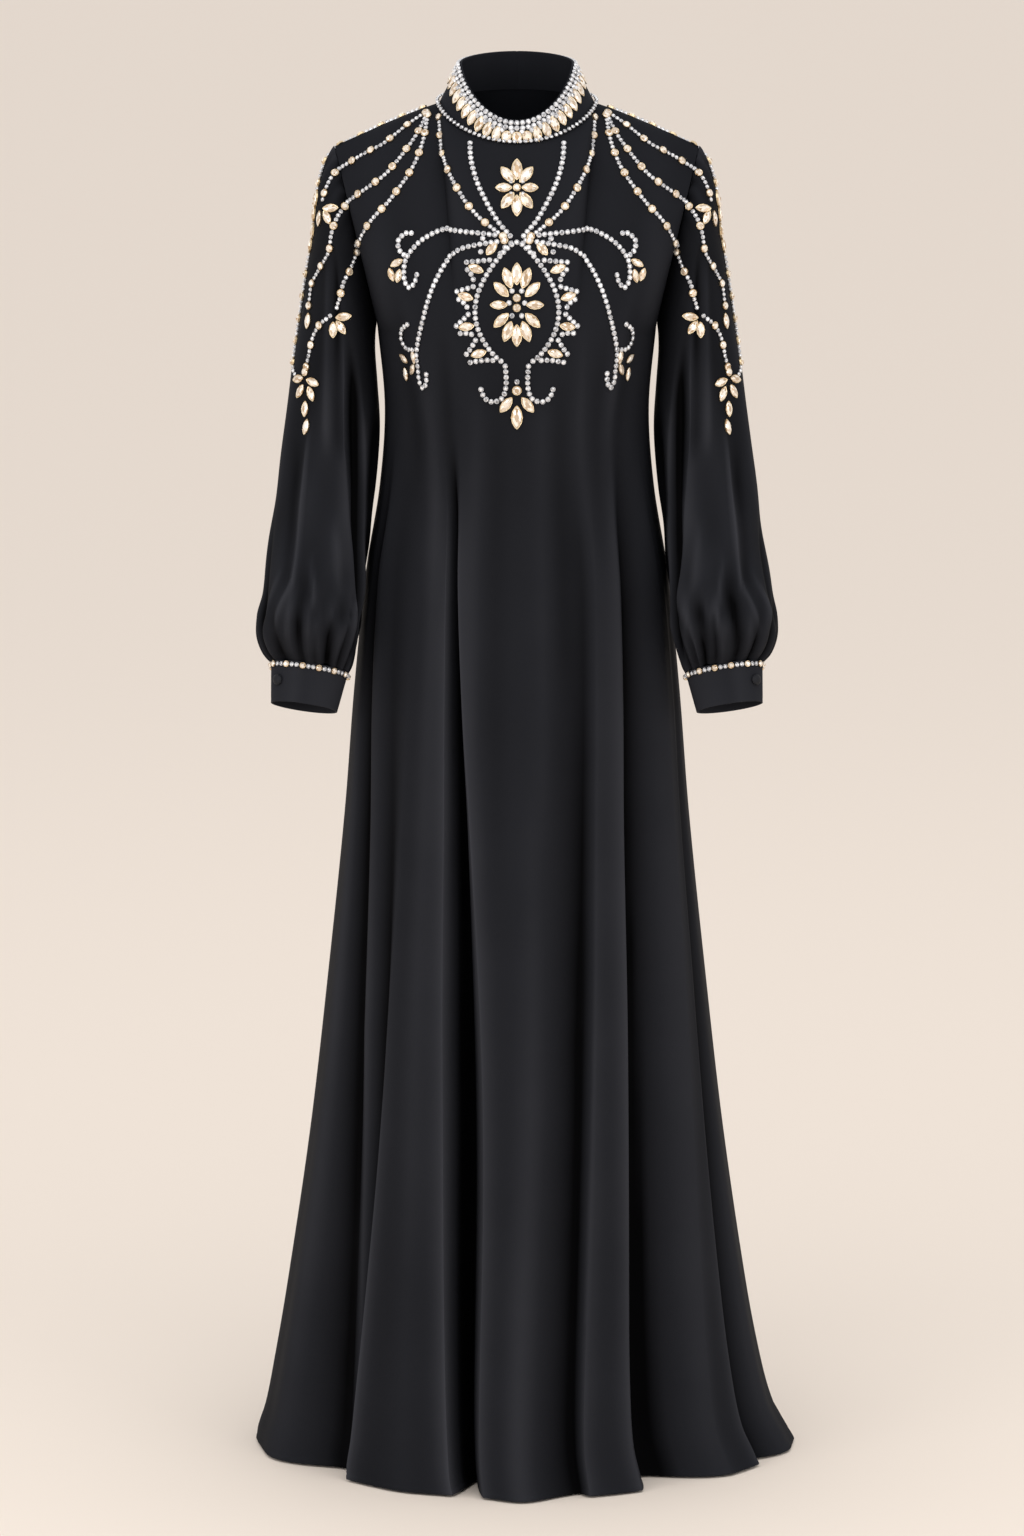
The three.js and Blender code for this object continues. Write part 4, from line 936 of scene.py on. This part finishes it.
# The cups are stamped brass, plated: bright and a little worn at the rim.
def plated_brass(name, colour):
    cup, tree = new_material(name)
    place = node(tree, "TexCoord").outputs["Object"]
    worn = node(tree, "TexNoise", [("Vector", place)], Scale=400, Detail=2)
    dull = node(tree, "MapRange", [("Value", worn)], To_Min=0.18, To_Max=0.4)
    surface(tree, [("Roughness", dull)], Base_Color=linear(colour), Metallic=1.0)
    return cup


silver_cup = plated_brass("silver_plated_cup", "#cfcfd1")
gold_cup = plated_brass("gold_plated_cup", "#e2cca6")


def collar_row(distance, pitch, phase, fringe):
    """Stones round the collar at a distance below its edge."""
    angle = np.linspace(COLLAR_END - math.pi, math.pi - COLLAR_END, 721)
    tall = np.linalg.norm(collar_point(angle, 0 * angle + 1) - collar_point(angle, 0 * angle), axis=1)
    up = 1 - distance / tall
    step = distances(collar_point(angle, up))
    count = int(step[-1] / pitch / 2) * 2 + 1
    made = []
    for k in range(count):
        here = float(np.interp((k + phase) * step[-1] / count, step, angle))
        level = float(np.interp(here, angle, up))
        spot, beside, above = [collar_point(np.array([here + a]), np.array([level + b]))[0]
                               for a, b in ((0, 0), (0.01, 0), (0, 0.05))]
        pointed = (OVAL_CUT, FRINGE_OVAL) if abs(here) < OVALS_REACH else (POINTED_CUT, FRINGE)
        stone = pointed if fringe else (ROUND_CUT, CLEAR)
        made.append((*stone, spot, np.cross(beside - spot, above - spot), above - spot))
    return made


stones_piece("collar_crystals", sum((collar_row(*row) for row in COLLAR_ROWS), []), "collar_stones")

angle = np.linspace(NECK_ROW.end - math.pi, math.pi - NECK_ROW.end, 1441)
ways = together(np.sin(angle), -np.cos(angle), NECK_ROW.lean)
line = neck_point(angle) + np.array([0, 0, NECK_ROW.up]) + ways * NECK_ROW.out
step = distances(line)
crystals = []
for k in range(int(step[-1] / NECK_ROW.pitch)):
    i = int(np.searchsorted(step, (k + 0.5) * NECK_ROW.pitch))
    crystals.append((ROUND_CUT, SMALL, line[i], ways[i], line[min(i + 1, len(line) - 1)] - line[i - 1]))
stones_piece("neck_crystals", crystals, "neck_stones")

# ---- Stones of the chest ----
# Strings of rounds and pointed stones couched by hand onto the front: two flowers on the
# centre line, a pointed oval with lobes and scrolls round the lower one, two strings a
# side that bring it down from the neck, and a small drop below.
# How far off the lines cast at the cloth start, and how often a string is pulled taut
FAR = 600
TAUT = 12
OVAL = Sizes(peak=-127, foot=-250, half=36, stem=12, round=0.75)
# Lobes: tip, out and height; then the heights where the lobes stand on the oval
LOBE_TIPS = [(56, -148), (65, -179), (64, -215), (54, -245)]
LOBE_FEET = [-145, -171, -198, -224, -249]
LOBE_PETAL = Stone(9.0, 3.4, 17.0, True)
# Strings, as out from the centre line and height; the mirror image is on the other side
SCROLLS = [
    [(20, -121), (46, -118), (73, -117), (93, -126), (106, -138), (114, -152), (115, -168),
     (110, -177), (104, -172), (101, -161)],
    [(113, -146), (120, -140), (121, -131), (116, -125), (110, -122), (103, -124)],
    [(18, -127), (40, -130), (58, -135), (71, -148), (82, -167), (90, -188), (96, -211), (100, -229),
     (102, -246), (100, -262), (99, -273), (95, -280), (92, -273), (92, -261)],
    [(104, -241), (112, -241), (117, -233), (117, -222), (111, -215)],
]
SWAG_PATTERN = [LARGE, SMALL, SMALL, SMALL]
NECK_STRING = [(79, -9), (78, -33), (69, -60), (53, -87), (39, -103), (24, -115), (9, -126)]
INNER_STRING = [(48, -31), (47, -48), (41, -69), (31, -89), (20, -107), (5, -124)]
KNOT_LARGE = (13, -126)
KNOT_PETAL = (26, -134, 130)
KNOT_ROUNDS = [(12, -133), (17, -139), (35, -124), (37, -137), (6, -129)]
DROP_HOOK = [(12, -250), (11, -272), (15, -286), (25, -290), (33, -286), (37, -276)]
DROP_SIDE = Stone(10.0, 3.6, 20.0, True)
DROP_END = Stone(12.0, 4.0, 25.0, True)
DROP_ROUND = Stone(10.0, 4.2, 10.0, True)
SIDE_PLACE = (11, -293, -52)
END_PLACE = (0, -306, -90)
MIDDLE_ROUNDS = [(-128, CLEAR), (-269, CLEAR), (-278, DROP_ROUND)]
# Petals at the ends of the scrolls: out, height, and the way the petal points, degrees
SPRIGS = [(123, -153, -30), (121, -166, -80), (128, -165, -112), (115, -253, -150), (113, -269, -97),
          (106, -262, -60), (105, -249, -100)]
SPRIG_PETAL = Stone(7.4, 3.0, 14.5, True)
# Rounds at the middle of the flowers, one of each mirrored pair
UPPER_ROUNDS = [(6, -69), (6, -81)]
CENTRE_ROUNDS = [(8, -188), (5, -201), (5, -176)]
# place, number of petals, distances of their middles across and up, lengths and widths
UPPER_FLOWER = {"x": 0, "z": -75, "petals": 8, "across": 13.6, "up": 17.4,
                "long": (17.5, 23), "wide": (10, 11.5)}
LOWER_FLOWER = {"x": 0, "z": -190, "petals": 12, "across": 18.5, "up": 31,
                "long": (18.5, 23.5), "wide": (9.4, 11)}

body_faces = [cloth_face(front_grid), cloth_face(back_grid)]
body_faces += [cloth_face(sleeve_grid[hand], True) for hand, _ in HANDS]


def on_cloth(start, way):
    """Where a line first meets the cloth's outer face, and the way out there."""
    start, way = Vector(start), Vector(way)
    hits = []
    while not hits:
        found = [face.ray_cast(start, way) for face in body_faces]
        hits = [h for h in found if h[0] and h[1].dot(way) < 0]
        start.z -= 2 * SEAM  # past the gap of a seam
    place, out, _, _ = min(hits, key=lambda h: h[3])
    return np.array(place), np.array(out)


def in_front(x, z):
    return on_cloth((x, -FAR, z), (0, 1, 0))


def curve(places, step=1.5):
    """A smooth line through places."""
    p = np.array(places, float)
    p = np.concatenate([[2 * p[0] - p[1]], p, [2 * p[-1] - p[-2]]])
    made = []
    for a, b, c, d in zip(p, p[1:], p[2:], p[3:]):
        t = np.linspace(0, 1, max(2, int(np.linalg.norm(c - b) / step)), endpoint=False)[:, None]
        made.append(0.5 * (2 * b + (c - a) * t + (2 * a - 5 * b + 4 * c - d) * t ** 2
                           + (3 * b - a - 3 * c + d) * t ** 3))
    return np.concatenate(made + [p[-2:-1]])


def string(line, pattern, spare=0.2):
    """Rounds along a line of places on the cloth; it bridges small hollows, being taut."""
    places, ways = [np.array(column) for column in zip(*line)]
    for _ in range(TAUT):
        middle = (places[:-2] + places[2:]) / 2
        rise = np.maximum(0, ((middle - places[1:-1]) * ways[1:-1]).sum(axis=1))[:, None]
        places[1:-1] += ways[1:-1] * rise
        ways[1:-1] = (ways[:-2] + 2 * ways[1:-1] + ways[2:]) / 4
    step = distances(places)
    made, at, k = [], pattern[0].long / 2, 0
    while at < step[-1]:
        kind = pattern[k % len(pattern)]
        place, out = [[float(np.interp(at, step, column)) for column in a.T] for a in (places, ways)]
        i = min(len(step) - 2, max(0, int(np.searchsorted(step, at)) - 1))
        made.append((ROUND_CUT, kind, place, out, places[i + 1] - places[i]))
        k += 1
        at += (kind.long + pattern[k % len(pattern)].long) / 2 + spare
    return made


def front_string(hand, places, pattern=(CLEAR,)):
    return string([in_front(hand * x, z) for x, z in curve(places)], pattern)


def petal(hand, out_from_middle, z, degrees, kind):
    """A pointed stone on the front; 0 degrees points away from the middle, 90 up."""
    place, out = in_front(hand * out_from_middle, z)
    up = unit(np.array([0, 0, 1.0]) - out * out[2])
    away = np.cross(up, out)
    away *= math.copysign(1, away[0] * hand)
    turn = math.radians(degrees)
    return (POINTED_CUT, kind, place, out, away * math.cos(turn) + up * math.sin(turn))


def flower(x, z, petals, across, up, long, wide):
    """Petals round a place on an ellipse, the upright ones the longest."""
    made = []
    for k in range(petals):
        turn = 2 * math.pi * k / petals
        upright = abs(math.sin(turn))
        dx, dz = across * math.cos(turn), up * math.sin(turn)
        kind = Stone(mix(*wide, upright), 3.8, mix(*long, upright), True)
        made.append(petal(1, x + dx, z + dz, math.degrees(math.atan2(dz, dx)), kind))
    return made


def mirrored(spots):
    return [(hand * x, z) for x, z in spots for hand, _ in HANDS]


def rounds(spots, kind):
    return [(ROUND_CUT, kind, *in_front(x, z), np.array([1.0, 0, 0])) for x, z in spots]


stones_piece("flower_upper_crystals", flower(**UPPER_FLOWER) + rounds([(0, -75)], LARGE)
             + rounds(mirrored(UPPER_ROUNDS), SMALL), "flower_upper")
stones_piece("flower_centre_crystals", flower(**LOWER_FLOWER) + rounds([(0, -183), (0, -193)], LARGE)
             + rounds(mirrored(CENTRE_ROUNDS), CLEAR), "flower_centre")


def oval_half(z):
    """Half the width of the medallion's oval at a height."""
    part = np.clip((OVAL.peak - z) / (OVAL.peak - OVAL.foot), 0, 1)
    return OVAL.half * np.sin(math.pi * part) ** OVAL.round + OVAL.stem * smooth(part)


crystals = []
for hand, _ in HANDS:
    heights = np.linspace(OVAL.peak - 1.5, OVAL.foot, 40)
    crystals += front_string(hand, [(float(oval_half(z)), float(z)) for z in heights])
    for (x, z), upper, lower in zip(LOBE_TIPS, LOBE_FEET, LOBE_FEET[1:]):
        a, b = float(oval_half(upper)), float(oval_half(lower))
        crystals += front_string(hand, [(a + 5, upper), (mix(a, x, 0.6), mix(upper, z, 0.5)), (x, z)])
        crystals += front_string(hand, [(x - 4, z - 5), (mix(b, x, 0.5), mix(lower, z, 0.5)),
                                        (b + 6, lower + 2)])
        inner, level = (a + b) / 2 + 3, (upper + lower) / 2
        lean = math.degrees(math.atan2(z - level, x - inner))
        crystals.append(petal(hand, mix(inner, x, 0.42), mix(level, z, 0.42), lean, LOBE_PETAL))
    for places in SCROLLS:
        crystals += front_string(hand, places)
    crystals += front_string(hand, NECK_STRING, SWAG_PATTERN)
    crystals += front_string(hand, INNER_STRING)
    crystals += front_string(hand, DROP_HOOK)
    crystals.append(petal(hand, *KNOT_PETAL, LOBE_PETAL))
    crystals += rounds([(hand * x, z) for x, z in KNOT_ROUNDS], CLEAR)
    crystals += rounds([(hand * KNOT_LARGE[0], KNOT_LARGE[1])], LARGE)
    crystals += [petal(hand, x, z, lean, SPRIG_PETAL) for x, z, lean in SPRIGS]
    crystals.append(petal(hand, *SIDE_PLACE, DROP_SIDE))
crystals.append(petal(1, *END_PLACE, DROP_END))
for z, kind in MIDDLE_ROUNDS:
    crystals += rounds([(0, z)], kind)
stones_piece("medallion_crystals", crystals, "medallion_stones")

# ---- Swags of the shoulders and sleeves ----
# Strings of large champagne rounds with three small clear ones between, gathered beside
# the neck and let down over the shoulder onto the sleeve, ending in sprays of petals.
SWAGS = [
    [(90, -7), (110, -19), (136, -38), (154, -48), (171, -59), (187, -70), (195, -84), (199, -98)],
    [(91, -8), (103, -29), (121, -52), (136, -68), (157, -84), (174, -98), (185, -113), (190, -130),
     (192, -146), (203, -168), (210, -184), (213, -206)],
    [(91, -9), (96, -34), (106, -58), (121, -80), (134, -96), (147, -110), (157, -126), (164, -144),
     (170, -160), (178, -177), (181, -193), (185, -206)],
]
SPRAY_LARGE = (217, -272)
LOWER_STRING = [(190, -210), (201, -221), (208, -233), (212, -249), (216, -268)]
# Petals of the sprays: out, height, and the way the petal points, degrees
SPRAYS = [(191, -103, 175), (194, -112, -128), (202, -115, -88), (207, -104, -30), (178, -212, 172),
          (180, -223, -130), (189, -226, -88), (214, -220, -90), (209, -281, -165), (224, -280, -15),
          (211, -293, -118), (222, -292, -62), (217, -309, -92), (216, -327, -84)]
SPRAY_PETAL = Stone(8.8, 3.4, 17.0, True)
# Strings and petals on the outer side of the sleeve: front to back, and height
SHOULDER_STRING = [(92, 6), (120, 6), (150, 5), (182, 2)]
UPPER_SIDE_STRING = [(2, -56), (-3, -72), (-8, -90)]
LOWER_SIDE_STRING = [(-6, -158), (-10, -184), (-12, -212), (-16, -238), (-27, -262), (-44, -279)]
OUTER_PETALS = [(-14, -97, -75), (-4, -99, -110), (-10, -114, -92), (-13, -131, -85), (-9, -147, -97)]


def from_side(hand, places):
    return [on_cloth((hand * FAR, y, z), (-hand, 0, 0)) for y, z in places]


for hand, side in HANDS:
    crystals = []
    for places in SWAGS:
        crystals += front_string(hand, places, SWAG_PATTERN)
    crystals += front_string(hand, LOWER_STRING, SWAG_PATTERN[::-1])
    crystals += rounds([(hand * SPRAY_LARGE[0], SPRAY_LARGE[1])], LARGE)
    over = [on_cloth((hand * x, y, FAR), (0, 0, -1)) for x, y in curve(SHOULDER_STRING)]
    crystals += string(over + from_side(hand, curve(UPPER_SIDE_STRING)), SWAG_PATTERN)
    crystals += string(from_side(hand, curve(LOWER_SIDE_STRING)), SWAG_PATTERN[::-1])
    crystals += [petal(hand, x, z, lean, SPRAY_PETAL) for x, z, lean in SPRAYS]
    for y, z, lean in OUTER_PETALS:
        turn = math.radians(lean)
        ahead = np.array([0, -math.cos(turn), math.sin(turn)])
        crystals.append((POINTED_CUT, SPRAY_PETAL, *from_side(hand, [(y, z)])[0], ahead))
    stones_piece(f"swag_crystals_{side}", crystals, f"swags_{side}")

# ---- Stones of the cuffs ----
# One row round the top of each cuff: a champagne round, then two small clear ones.
CUFF_LARGE = Stone(6.6, 3.4, 6.6, True)
CUFF_ROW = 0.91
for hand, side in HANDS:
    degrees = np.linspace(-CUFF.lap_from + 2, 360 - CUFF.lap_from - 1, 700)
    spots = cuff_point(hand, degrees, 0 * degrees + CUFF_ROW)
    above = cuff_point(hand, degrees, 0 * degrees + 1.0) - spots
    outs = unit(np.cross(np.gradient(spots, axis=0), above) * hand)
    row = string(list(zip(spots, outs)), [CUFF_LARGE, SMALL, SMALL], 0.3)
    stones_piece(f"cuff_crystals_{side}", row, f"cuff_stones_{side}")
